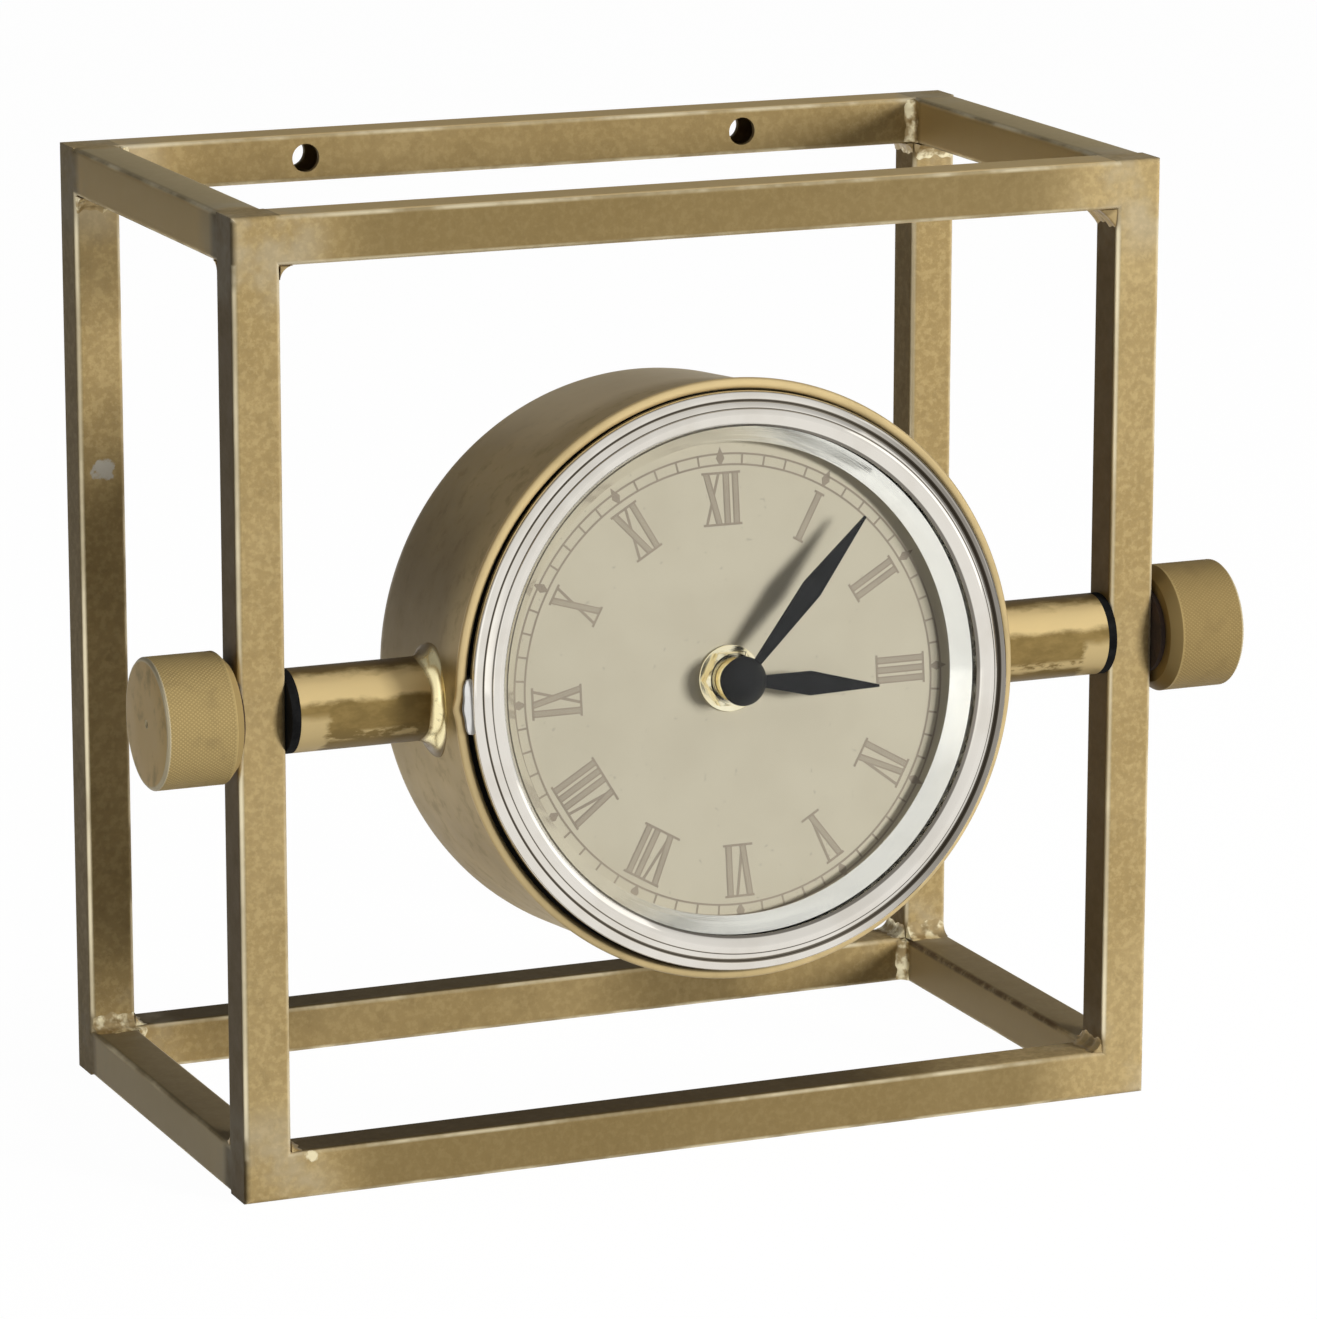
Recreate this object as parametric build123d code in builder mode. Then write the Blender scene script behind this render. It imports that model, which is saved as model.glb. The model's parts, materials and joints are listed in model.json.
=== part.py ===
from build123d import *
from math import cos, pi, radians, sin, sqrt, tan
import os

# A round desk clock: a drum with a clock insert, tilting on two knobs in a welded tube frame.
# +X is to the right of someone facing the dial, -Y is towards them, and +Z is up.
# The origin is on the standing surface, in the middle of the front bar and right under the pivot axis.

# Frame of welded square tube
frame_width = 202.0
frame_height = 200.0
frame_depth = 108.0
tube_size = 10.0
tube_wall = 1.2
tube_corner_radius = 1.2
tube_inner_corner_radius = 0.3
frame_weld_leg = 2.6
hanging_hole_spacing = 100.0
hanging_hole_diameter = 6.0

# Pivots that carry the drum between the front posts
drum_tilt = 7.0
screw_diameter = 6.0
screw_hole_clearance = 0.2
thread_clearance = 0.05
face_clearance = 0.05
stub_diameter = 17.0
stub_thread_depth = 14.0
stub_weld_leg = 3.4
weld_edge = 0.3
weld_root_gap = 0.02
friction_washer_thickness = 1.8
fibre_washer_diameter = 18.0
fibre_washer_thickness = 1.0
knob_diameter = 26.6
knob_length = 16.4
knob_outer_chamfer = 0.6
knob_inner_chamfer = 2.0
knob_socket_depth = 11.0
knob_mark_diameter = 1.6
knob_mark_slope = 30.0

# Spun drum, distances measured along its axis from the pivot
drum_radius = 59.4
drum_wall = 1.0
drum_rim_forward = 19.6
drum_back_behind = 33.0
drum_back_radius = 8.0
rim_bead_radius = 1.1

# Clock insert, distances measured forward from the pivot
dial_front = 15.2
dial_thickness = 0.6
seat_clearance = 0.1
rehaut_foot_inset = 3.1
rehaut_top_inset = 1.4
rehaut_height = 6.2
rehaut_wall = 0.8
lens_edge_thickness = 1.8
lens_rise = 4.4
bezel_inset = 1.0
bezel_lip_clearance = 0.5
bezel_lip_thickness = 0.7
bezel_skirt = 2.0
bezel_wall_rise = 1.3
bezel_edge = 0.4
bezel_groove_inset = 1.9
bezel_groove_width = 0.4
bezel_groove_depth = 0.6
bezel_roll_rise = 3.0
housing_wall = 3.9
housing_back = 1.0
shelf_width = 2.2
shelf_thickness = 2.0
gasket_room = 2.0
gasket_base = 1.0
gasket_back = 4.0
gasket_front = 17.0
gasket_lip_thickness = 1.2
gasket_lip_count = 3
gasket_fit = 0.05
gasket_tab_width = 9.4
gasket_tab_thickness = 0.7
gasket_tab_front = 20.8

# Quartz movement behind the dial
cushion_thickness = 1.0
cushion_radius = 9.0
movement_size = 56.0
movement_wall = 1.2
movement_inner_depth = 15.4
battery_bay_height = 15.4
battery_diameter = 14.2
battery_length = 49.5
battery_nub_diameter = 5.4
battery_nub_length = 1.0
contact_thickness = 0.4
contact_width = 10.0
bushing_radius = 4.0
bushing_flange_radius = 5.6
bushing_flange_thickness = 0.5
bushing_above_dial = 4.6
pipe_radius = 2.5
arbor_radius = 1.2
running_fit = 0.06
dial_washer_radius = 6.8
dial_washer_thickness = 0.6
dial_nut_across_flats = 10.6
dial_nut_thickness = 2.2

# Wheels: tooth counts, tooth size and the height of each layer
wheel_module = 0.4
rotor_module = 0.34
cannon_teeth = 12
minute_wheel_teeth = 36
minute_pinion_teeth = 10
hour_wheel_teeth = 40
setting_teeth = 18
centre_wheel_teeth = 36
third_pinion_teeth = 12
third_wheel_teeth = 40
intermediate_pinion_teeth = 8
intermediate_wheel_teeth = 48
rotor_pinion_teeth = 8
tooth_tip = 0.68
tooth_root = 1.2
tooth_slope = 20.0
tooth_backlash = 0.24
wheel_thickness = 1.0
layer_gap = 0.6
wheel_arbor_radius = 0.6
wheel_pivot_radius = 0.4
wheel_pivot_length = 0.7
minute_wheel_direction = 150.0
setting_direction = 160.0
third_wheel_direction = 60.0
intermediate_direction = 0.0
rotor_direction = 38.0

# Stepping motor, circuit board and setting knob
magnet_radius = 2.6
magnet_thickness = 1.8
stator_gap = 0.5
stator_thickness = 0.8
stator_left = 2.0
stator_right = 25.8
stator_bottom = 10.3
stator_top = 24.2
stator_side = 3.8
stator_pole_width = 8.0
stator_yoke_width = 2.6
coil_length = 11.0
coil_build = 1.2
coil_clearance = 0.1
board_length = 22.0
board_width = 12.0
board_thickness = 0.8
board_left = -25.0
board_bottom = 13.0
chip_size = 4.0
chip_thickness = 1.2
pillar_radius = 1.2
setting_shaft_radius = 1.5
setting_knob_radius = 5.0
setting_knob_thickness = 4.0
setting_knob_gap = 0.6

# Hands, angles clockwise from twelve
minute_hand_angle = 42.5
minute_hand_tip_gap = 7.3
minute_hand_above_dial = 7.0
minute_hand_half_width = 2.3
minute_hand_widest_at = 23.5
minute_hand_neck = 0.8
hour_hand_angle = 97.0
hour_hand_length = 30.8
hour_hand_above_dial = 5.4
hour_hand_half_width = 2.5
hour_hand_widest_at = 15.5
hour_hand_neck = 1.1
hand_thickness = 0.4
hand_tip_half_width = 0.25
hand_collar_radius = 4.0
hand_cap_radius = 5.0
hand_cap_height = 2.4

# Places and directions worked out from the sizes above
tilt = radians(drum_tilt)
front_y = 0
rear_y = frame_depth - tube_size
pivot_y = front_y
pivot_height = frame_height / 2
pivot = Vector(0, pivot_y, pivot_height)
forward = Vector(0, -cos(tilt), sin(tilt))
drum_plane = Plane(origin=pivot, x_dir=(1, 0, 0), z_dir=forward)
turning_plane = Plane(origin=pivot, x_dir=(1, 0, 0), z_dir=(0, -sin(tilt), -cos(tilt)))
drum_axis = Axis(pivot, forward)
drum_bore = drum_radius - drum_wall
drum_cut_reach = 2 * stub_diameter
bezel_radius = drum_radius - bezel_inset
housing_radius = drum_bore - gasket_room
housing_bore = housing_radius - housing_wall
dial_radius = housing_bore - seat_clearance
rehaut_foot_radius = dial_radius - rehaut_foot_inset
rehaut_top_radius = dial_radius - rehaut_top_inset
bezel_lip_radius = rehaut_top_radius + bezel_lip_clearance
minute_hand_length = rehaut_foot_radius - minute_hand_tip_gap
post_inner = frame_width / 2 - tube_size
post_outer = frame_width / 2
screw_radius = screw_diameter / 2
screw_hole_radius = screw_radius + screw_hole_clearance
stub_radius = stub_diameter / 2
stub_end = post_inner - friction_washer_thickness - face_clearance
knob_inner_end = post_outer + fibre_washer_thickness + face_clearance

os.makedirs("parts", exist_ok=True)


def save(piece, name):
    """Label a finished piece and write it to a file of its own."""
    piece.part.label = name
    export_step(piece.part, f"parts/{name}.step")


# The frame's tubes: two mitred rectangles joined by four rails
tube_bore = tube_size - 2 * tube_wall


def tube_length(centre, direction, length):
    """Square tube of one length along a direction, added to the current part."""
    with BuildSketch(Plane(origin=centre, z_dir=direction)) as section:
        RectangleRounded(tube_size, tube_size, tube_corner_radius)
        RectangleRounded(tube_bore, tube_bore, tube_inner_corner_radius, mode=Mode.SUBTRACT)
    extrude(section.sketch, amount=length / 2, both=True)


def mitre(side, level):
    """Cutting plane through one outer corner of a rectangle, facing away from its cross bar."""
    corner_height = frame_height if level > 0 else 0
    return Plane(origin=(side * frame_width / 2, 0, corner_height), z_dir=(side, 0, -level))


for face_name, tube_y in (("front", front_y), ("rear", rear_y)):
    for level_name, level in (("top", 1), ("bottom", -1)):
        tube_z = frame_height / 2 + level * (frame_height - tube_size) / 2
        with BuildPart() as cross_bar:
            tube_length((0, tube_y, tube_z), (1, 0, 0), frame_width)
            split(bisect_by=mitre(-1, level), keep=Keep.BOTTOM)
            split(bisect_by=mitre(1, level), keep=Keep.BOTTOM)
            if (face_name, level_name) == ("rear", "top"):
                with Locations(Plane(origin=(0, tube_y, tube_z), x_dir=(1, 0, 0), z_dir=(0, 1, 0))):
                    with GridLocations(hanging_hole_spacing, 1, 2, 1):
                        Cylinder(hanging_hole_diameter / 2, 2 * tube_size, mode=Mode.SUBTRACT)
        save(cross_bar, f"{face_name}_{level_name}_bar")

    for side_name, side in (("left", -1), ("right", 1)):
        tube_x = side * (frame_width - tube_size) / 2
        with BuildPart() as post:
            tube_length((tube_x, tube_y, frame_height / 2), (0, 0, 1), frame_height)
            split(bisect_by=mitre(side, 1), keep=Keep.TOP)
            split(bisect_by=mitre(side, -1), keep=Keep.TOP)
            if face_name == "front":
                with Locations(Plane(origin=(tube_x, pivot_y, pivot_height), z_dir=(1, 0, 0))):
                    Cylinder(screw_hole_radius, 2 * tube_size, mode=Mode.SUBTRACT)
        save(post, f"{face_name}_post_{side_name}")

for level_name, level in (("top", 1), ("bottom", -1)):
    for side_name, side in (("left", -1), ("right", 1)):
        rail_x = side * (frame_width - tube_size) / 2
        rail_z = frame_height / 2 + level * (frame_height - tube_size) / 2
        with BuildPart() as rail:
            tube_length((rail_x, (front_y + rear_y) / 2, rail_z), (0, 1, 0), frame_depth - 2 * tube_size)
        save(rail, f"{level_name}_rail_{side_name}")

# Weld fillets in the inner corners of the frame
weld_run = tube_size - 2 * tube_corner_radius


def fillet_weld(corner, along, first, second):
    """Hollow-faced weld in a corner: it runs along one direction and climbs two walls."""
    start = Vector(*corner) - Vector(*along) * (weld_run / 2)
    with BuildSketch(Plane(origin=start, x_dir=first, z_dir=along)) as section:
        turn = 1 if Vector(*along).dot(Vector(*first).cross(Vector(*second))) > 0 else -1
        with BuildLine():
            Line((0, 0), (frame_weld_leg, 0))
            Line((frame_weld_leg, 0), (frame_weld_leg, turn * weld_edge))
            RadiusArc(
                (frame_weld_leg, turn * weld_edge),
                (weld_edge, turn * frame_weld_leg),
                turn * frame_weld_leg,
            )
            Line((weld_edge, turn * frame_weld_leg), (0, turn * frame_weld_leg))
            Line((0, turn * frame_weld_leg), (0, 0))
        make_face()
    extrude(section.sketch, amount=weld_run)


inner_x = frame_width / 2 - tube_size
weld_x = (frame_width - tube_size) / 2
with BuildPart() as frame_welds:
    for level in (1, -1):
        inner_z = frame_height / 2 + level * (frame_height / 2 - tube_size)
        weld_z = frame_height / 2 + level * (frame_height - tube_size) / 2
        for side in (-1, 1):
            for tube_y, rail_side in ((front_y, 1), (rear_y, -1)):
                inner_y = tube_y + rail_side * tube_size / 2
                inwards = (-side, 0, 0)
                away = (0, 0, -level)
                along_rail = (0, rail_side, 0)
                fillet_weld((side * inner_x, tube_y, inner_z), (0, 1, 0), inwards, away)
                fillet_weld((side * weld_x, inner_y, inner_z), (1, 0, 0), along_rail, away)
                fillet_weld((side * inner_x, inner_y, weld_z), (0, 0, 1), inwards, along_rail)
save(frame_welds, "frame_welds")

# Pivot hardware on each side, from the drum outwards
with BuildPart() as friction_washers:
    for side in (-1, 1):
        inner_face = (side * (post_inner - friction_washer_thickness), pivot_y, pivot_height)
        with BuildSketch(Plane(origin=inner_face, z_dir=(side, 0, 0))):
            Circle(stub_radius)
            Circle(screw_hole_radius, mode=Mode.SUBTRACT)
        extrude(amount=friction_washer_thickness)
save(friction_washers, "friction_washers")

with BuildPart() as stub_welds:
    for side in (-1, 1):
        root_radius = stub_radius + weld_root_gap
        weld_start = drum_radius - stub_weld_leg
        weld_end = drum_radius + stub_weld_leg
        pivot_side = Plane(origin=pivot, x_dir=(side, 0, 0), z_dir=(0, -side, 0))
        with BuildSketch(pivot_side):
            with BuildLine():
                Line((weld_start, root_radius), (weld_start, root_radius + stub_weld_leg))
                Line((weld_start, root_radius + stub_weld_leg), (drum_radius, root_radius + stub_weld_leg))
                RadiusArc(
                    (drum_radius, root_radius + stub_weld_leg),
                    (weld_end, root_radius + weld_edge),
                    -stub_weld_leg,
                )
                Line((weld_end, root_radius + weld_edge), (weld_end, root_radius))
                Line((weld_end, root_radius), (weld_start, root_radius))
            make_face()
        revolve(axis=Axis(pivot, (1, 0, 0)))
    with BuildSketch(drum_plane):
        Circle(drum_radius + weld_root_gap)
    extrude(amount=drum_cut_reach, both=True, mode=Mode.SUBTRACT)
save(stub_welds, "stub_welds")

for side_name, side in (("left", -1), ("right", 1)):
    stub_start = drum_radius - stub_radius
    stub_end_plane = Plane(origin=(side * stub_end, pivot_y, pivot_height), z_dir=(-side, 0, 0))
    with BuildPart() as stub:
        with BuildSketch(stub_end_plane):
            Circle(stub_radius)
        extrude(amount=stub_end - stub_start)
        with BuildSketch(stub_end_plane):
            Circle(screw_radius)
        extrude(amount=stub_thread_depth, mode=Mode.SUBTRACT)
        with BuildSketch(drum_plane):
            Circle(drum_radius + weld_root_gap)
        extrude(amount=drum_cut_reach, both=True, mode=Mode.SUBTRACT)
    save(stub, f"stub_{side_name}")

    washer_face = (side * post_outer, pivot_y, pivot_height)
    with BuildPart() as fibre_washer:
        with BuildSketch(Plane(origin=washer_face, z_dir=(side, 0, 0))):
            Circle(fibre_washer_diameter / 2)
            Circle(screw_hole_radius, mode=Mode.SUBTRACT)
        extrude(amount=fibre_washer_thickness)
    save(fibre_washer, f"fibre_washer_{side_name}")

    knob_plane = Plane(origin=(side * knob_inner_end, pivot_y, pivot_height), z_dir=(side, 0, 0))
    with BuildPart() as knob:
        with BuildSketch(knob_plane):
            Circle(knob_diameter / 2)
        extrude(amount=knob_length)
        rims = knob.edges().filter_by(GeomType.CIRCLE).sort_by(Axis.X)
        outer_rim = rims[0] if side < 0 else rims[-1]
        inner_rim = rims[-1] if side < 0 else rims[0]
        chamfer(outer_rim, knob_outer_chamfer)
        chamfer(inner_rim, knob_inner_chamfer)
        with BuildSketch(knob_plane):
            Circle(screw_radius)
        extrude(amount=knob_socket_depth, mode=Mode.SUBTRACT)
        with BuildSketch(knob_plane.offset(knob_length)):
            Circle(knob_mark_diameter / 2)
        extrude(amount=-knob_mark_diameter / 2, taper=knob_mark_slope, mode=Mode.SUBTRACT)
    save(knob, f"knob_{side_name}")

    screw_inner_end = stub_end - stub_thread_depth + stub_weld_leg
    screw_length = knob_inner_end + knob_socket_depth - thread_clearance - screw_inner_end
    with BuildPart() as pivot_screw:
        with BuildSketch(Plane(origin=(side * screw_inner_end, pivot_y, pivot_height), z_dir=(side, 0, 0))):
            Circle(screw_radius - thread_clearance)
        extrude(amount=screw_length)
    save(pivot_screw, f"pivot_screw_{side_name}")

# Drum: a spun cup with a rounded back and a rolled bead at its rim
with BuildPart() as drum_shell:
    straight_start = drum_back_radius - drum_back_behind
    inner_round = drum_back_radius - drum_wall
    with BuildSketch(turning_plane):
        with BuildLine():
            Line((0, -drum_back_behind), (drum_radius - drum_back_radius, -drum_back_behind))
            RadiusArc(
                (drum_radius - drum_back_radius, -drum_back_behind),
                (drum_radius, straight_start),
                -drum_back_radius,
            )
            Line((drum_radius, straight_start), (drum_radius, drum_rim_forward))
            Line((drum_radius, drum_rim_forward), (drum_bore, drum_rim_forward))
            Line((drum_bore, drum_rim_forward), (drum_bore, straight_start))
            RadiusArc(
                (drum_bore, straight_start),
                (drum_bore - inner_round, drum_wall - drum_back_behind),
                inner_round,
            )
            Line((drum_bore - inner_round, drum_wall - drum_back_behind), (0, drum_wall - drum_back_behind))
            Line((0, drum_wall - drum_back_behind), (0, -drum_back_behind))
        make_face()
        with Locations((drum_bore + rim_bead_radius, drum_rim_forward)):
            Circle(rim_bead_radius)
    revolve(axis=drum_axis)
save(drum_shell, "drum_shell")

# Insert: housing, gasket, dial, rehaut, lens and bezel
dial_back = dial_front - dial_thickness
lens_seat = dial_front + rehaut_height
bezel_under = lens_seat + lens_edge_thickness

with BuildPart() as insert_housing:
    with BuildSketch(turning_plane):
        with BuildLine():
            Polyline(
                (housing_bore, housing_back),
                (housing_radius, housing_back),
                (housing_radius, bezel_under),
                (housing_bore, bezel_under),
                (housing_bore, dial_back),
                (housing_bore - shelf_width, dial_back),
                (housing_bore - shelf_width, dial_back - shelf_thickness),
                (housing_bore, dial_back - shelf_thickness),
                close=True,
            )
        make_face()
    revolve(axis=drum_axis)
save(insert_housing, "insert_housing")

gasket_bore = housing_radius + seat_clearance
gasket_reach = drum_bore - gasket_fit
gasket_length = gasket_front - gasket_back
lip_pitch = (gasket_length - gasket_lip_thickness) / (gasket_lip_count - 1)
with BuildPart() as gasket:
    with BuildSketch(turning_plane):
        with Locations((gasket_bore + gasket_base / 2, (gasket_back + gasket_front) / 2)):
            Rectangle(gasket_base, gasket_length)
        for lip in range(gasket_lip_count):
            lip_middle = gasket_back + gasket_lip_thickness / 2 + lip * lip_pitch
            with Locations(((gasket_bore + gasket_reach) / 2, lip_middle)):
                Rectangle(gasket_reach - gasket_bore, gasket_lip_thickness)
    revolve(axis=drum_axis)
    with BuildSketch(drum_plane.offset(gasket_front)):
        Circle(gasket_reach)
        Circle(gasket_reach - gasket_tab_thickness, mode=Mode.SUBTRACT)
        with Locations((-gasket_reach, 0)):
            Rectangle(gasket_reach, gasket_tab_width, mode=Mode.INTERSECT)
    extrude(amount=gasket_tab_front - gasket_front)
save(gasket, "gasket")

with BuildPart() as dial:
    with BuildSketch(drum_plane.offset(dial_back)):
        Circle(dial_radius)
        Circle(bushing_radius + seat_clearance, mode=Mode.SUBTRACT)
    extrude(amount=dial_thickness)
save(dial, "dial")

with BuildPart() as rehaut:
    with BuildSketch(turning_plane):
        with BuildLine():
            Polyline(
                (rehaut_foot_radius, dial_front),
                (rehaut_foot_radius + rehaut_wall, dial_front),
                (rehaut_top_radius + rehaut_wall, lens_seat - rehaut_wall),
                (dial_radius, lens_seat - rehaut_wall),
                (dial_radius, lens_seat),
                (rehaut_top_radius, lens_seat),
                close=True,
            )
        make_face()
    revolve(axis=drum_axis)
save(rehaut, "rehaut")

dome_radius = bezel_lip_radius - seat_clearance
lens_curve = (dome_radius**2 + lens_rise**2) / (2 * lens_rise)
lens_half_drop = lens_curve - sqrt(lens_curve**2 - dome_radius**2 / 4)


def dome_arc(edge_height):
    """Arc from the lens's axis out to its flat edge, for one face of the lens."""
    crown = edge_height + lens_rise
    return ThreePointArc((0, crown), (dome_radius / 2, crown - lens_half_drop), (dome_radius, edge_height))


with BuildPart() as lens:
    with BuildSketch(turning_plane):
        with BuildLine():
            dome_arc(lens_seat)
            Line((dome_radius, lens_seat), (dial_radius, lens_seat))
            Line((dial_radius, lens_seat), (dial_radius, bezel_under))
            Line((dial_radius, bezel_under), (dome_radius, bezel_under))
            dome_arc(bezel_under)
            Line((0, bezel_under + lens_rise), (0, lens_seat + lens_rise))
        make_face()
    revolve(axis=drum_axis)
save(lens, "lens")

with BuildPart() as bezel:
    skirt_bore = housing_radius + seat_clearance
    wall_top = bezel_under + bezel_wall_rise
    groove_radius = bezel_radius - bezel_groove_inset
    lip_front = bezel_under + bezel_lip_thickness
    roll_middle = ((groove_radius + bezel_lip_radius) / 2, bezel_under + bezel_roll_rise)
    with BuildSketch(turning_plane):
        with BuildLine():
            Polyline(
                (bezel_lip_radius, lip_front),
                (bezel_lip_radius, bezel_under),
                (skirt_bore, bezel_under),
                (skirt_bore, bezel_under - bezel_skirt),
                (bezel_radius, bezel_under - bezel_skirt),
                (bezel_radius, wall_top - bezel_edge),
                (bezel_radius - bezel_edge, wall_top),
                (groove_radius + bezel_groove_width, wall_top),
                (groove_radius, wall_top - bezel_groove_depth),
            )
            ThreePointArc(
                (groove_radius, wall_top - bezel_groove_depth),
                roll_middle,
                (bezel_lip_radius, lip_front),
            )
        make_face()
    revolve(axis=drum_axis)
save(bezel, "bezel")

# Movement case and what fastens it to the dial
case_front = dial_back - cushion_thickness
room_front = case_front - movement_wall
room_back = room_front - movement_inner_depth
room_half = movement_size / 2 - movement_wall
bay_top = battery_bay_height - room_half
bay_middle = (bay_top - room_half) / 2
bushing_top = dial_front + bushing_above_dial

with BuildPart() as dial_cushion:
    with BuildSketch(drum_plane.offset(case_front)):
        Circle(cushion_radius)
        Circle(bushing_radius + seat_clearance, mode=Mode.SUBTRACT)
    extrude(amount=cushion_thickness)
save(dial_cushion, "dial_cushion")

with BuildPart() as bushing:
    with BuildSketch(turning_plane):
        with BuildLine():
            Polyline(
                (pipe_radius + running_fit, room_front - bushing_flange_thickness),
                (bushing_flange_radius, room_front - bushing_flange_thickness),
                (bushing_flange_radius, room_front),
                (bushing_radius, room_front),
                (bushing_radius, bushing_top),
                (pipe_radius + running_fit, bushing_top),
                close=True,
            )
        make_face()
    revolve(axis=drum_axis)
save(bushing, "bushing")

with BuildPart() as dial_washer:
    with BuildSketch(drum_plane.offset(dial_front)):
        Circle(dial_washer_radius)
        Circle(bushing_radius + thread_clearance, mode=Mode.SUBTRACT)
    extrude(amount=dial_washer_thickness)
save(dial_washer, "dial_washer")

with BuildPart() as dial_nut:
    with BuildSketch(drum_plane.offset(dial_front + dial_washer_thickness)):
        RegularPolygon(dial_nut_across_flats / 2, 6, major_radius=False)
        Circle(bushing_radius + thread_clearance, mode=Mode.SUBTRACT)
    extrude(amount=dial_nut_thickness)
save(dial_nut, "dial_nut")

# Wheel train: where each arbor stands and how its teeth are turned so that they mesh
motion_distance = wheel_module * (cannon_teeth + minute_wheel_teeth) / 2
hour_module = 2 * motion_distance / (minute_pinion_teeth + hour_wheel_teeth)
setting_distance = wheel_module * (minute_wheel_teeth + setting_teeth) / 2
centre_distance = wheel_module * (centre_wheel_teeth + third_pinion_teeth) / 2
third_distance = wheel_module * (third_wheel_teeth + intermediate_pinion_teeth) / 2
rotor_distance = rotor_module * (intermediate_wheel_teeth + rotor_pinion_teeth) / 2


def step_from(start, distance, direction):
    """The point at a distance and a direction, in degrees from the x axis, from another point."""
    return (start[0] + distance * cos(radians(direction)), start[1] + distance * sin(radians(direction)))


def meshing_turn(turn, teeth, direction, next_teeth):
    """Turn of the next wheel that puts its gaps on the teeth of a wheel already turned."""
    return direction + 180 - (turn - direction) * teeth / next_teeth - 180 / next_teeth


centre_at = (0, 0)
minute_wheel_at = step_from(centre_at, motion_distance, minute_wheel_direction)
setting_at = step_from(minute_wheel_at, setting_distance, setting_direction)
third_at = step_from(centre_at, centre_distance, third_wheel_direction)
intermediate_at = step_from(third_at, third_distance, intermediate_direction)
rotor_at = step_from(intermediate_at, rotor_distance, rotor_direction)

cannon_turn = 0
minute_wheel_turn = meshing_turn(cannon_turn, cannon_teeth, minute_wheel_direction, minute_wheel_teeth)
setting_turn = meshing_turn(minute_wheel_turn, minute_wheel_teeth, setting_direction, setting_teeth)
minute_pinion_turn = 0
hour_direction = minute_wheel_direction + 180
hour_wheel_turn = meshing_turn(minute_pinion_turn, minute_pinion_teeth, hour_direction, hour_wheel_teeth)
centre_turn = 0
third_pinion_turn = meshing_turn(centre_turn, centre_wheel_teeth, third_wheel_direction, third_pinion_teeth)
third_turn = 0
intermediate_pinion_turn = meshing_turn(
    third_turn, third_wheel_teeth, intermediate_direction, intermediate_pinion_teeth
)
intermediate_turn = 0
rotor_turn = meshing_turn(intermediate_turn, intermediate_wheel_teeth, rotor_direction, rotor_pinion_teeth)


def layer_back(layer):
    """Back face of one layer of wheels, counted from the front of the movement."""
    first_front = room_front - bushing_flange_thickness - layer_gap / 2
    return first_front - wheel_thickness - layer * (wheel_thickness + layer_gap)


def toothed_disc(at, teeth, module, turn, back, thickness):
    """Straight-sided teeth round a disc, added to the current part."""
    pitch_radius = module * teeth / 2
    half_tooth = pi * module / 4 * (1 - tooth_backlash)
    slope = tan(radians(tooth_slope))
    tip_radius = pitch_radius + tooth_tip * module
    root_radius = pitch_radius - tooth_root * module
    tip_half = (half_tooth - tooth_tip * module * slope) / tip_radius
    root_half = (half_tooth + tooth_root * module * slope) / root_radius
    outline = []
    for tooth in range(teeth):
        middle = radians(turn) + 2 * pi * tooth / teeth
        corners = (
            (root_radius, middle - root_half),
            (tip_radius, middle - tip_half),
            (tip_radius, middle + tip_half),
            (root_radius, middle + root_half),
        )
        for radius, corner_angle in corners:
            outline.append((at[0] + radius * cos(corner_angle), at[1] + radius * sin(corner_angle)))
    with BuildSketch(drum_plane.offset(back)) as section:
        with BuildLine():
            Polyline(*outline, close=True)
        make_face()
    extrude(section.sketch, amount=thickness)


def rod(at, radius, back, front, mode=Mode.ADD):
    """Round rod along the drum axis between two distances, added to or cut from the current part."""
    with BuildSketch(drum_plane.offset(back)) as section:
        with Locations(at):
            Circle(radius)
    extrude(section.sketch, amount=front - back, mode=mode)


def pivoted_arbor(at):
    """Arbor across the movement with a thin pivot at each end, added to the current part."""
    rod(at, wheel_arbor_radius, room_back + layer_gap / 2, room_front - layer_gap / 2)
    rod(at, wheel_pivot_radius, room_back - wheel_pivot_length, room_front + wheel_pivot_length)


minute_hand_back = dial_front + minute_hand_above_dial
hour_hand_back = dial_front + hour_hand_above_dial
cap_back = minute_hand_back + hand_thickness
layer_pitch = wheel_thickness + layer_gap

with BuildPart() as minute_arbor:
    rod(centre_at, arbor_radius, layer_back(2) - layer_gap / 2, cap_back)
    rod(centre_at, wheel_arbor_radius, room_back + layer_gap / 2, layer_back(2))
    rod(centre_at, wheel_pivot_radius, room_back - wheel_pivot_length, layer_back(2))
    toothed_disc(centre_at, cannon_teeth, wheel_module, cannon_turn, layer_back(1), wheel_thickness)
save(minute_arbor, "minute_arbor")

with BuildPart() as hour_wheel:
    toothed_disc(centre_at, hour_wheel_teeth, hour_module, hour_wheel_turn, layer_back(0), wheel_thickness)
    rod(centre_at, pipe_radius, layer_back(0), hour_hand_back + hand_thickness)
    rod(centre_at, arbor_radius + running_fit, layer_back(0), hour_hand_back + hand_thickness, Mode.SUBTRACT)
save(hour_wheel, "hour_wheel")

with BuildPart() as minute_wheel:
    pivoted_arbor(minute_wheel_at)
    toothed_disc(
        minute_wheel_at, minute_wheel_teeth, wheel_module, minute_wheel_turn, layer_back(1), wheel_thickness
    )
    toothed_disc(
        minute_wheel_at,
        minute_pinion_teeth,
        hour_module,
        minute_pinion_turn,
        layer_back(1),
        wheel_thickness + layer_pitch,
    )
save(minute_wheel, "minute_wheel")

with BuildPart() as centre_wheel:
    toothed_disc(centre_at, centre_wheel_teeth, wheel_module, centre_turn, layer_back(2), wheel_thickness)
    rod(centre_at, arbor_radius + running_fit, layer_back(2), layer_back(1), Mode.SUBTRACT)
save(centre_wheel, "centre_wheel")

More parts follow.
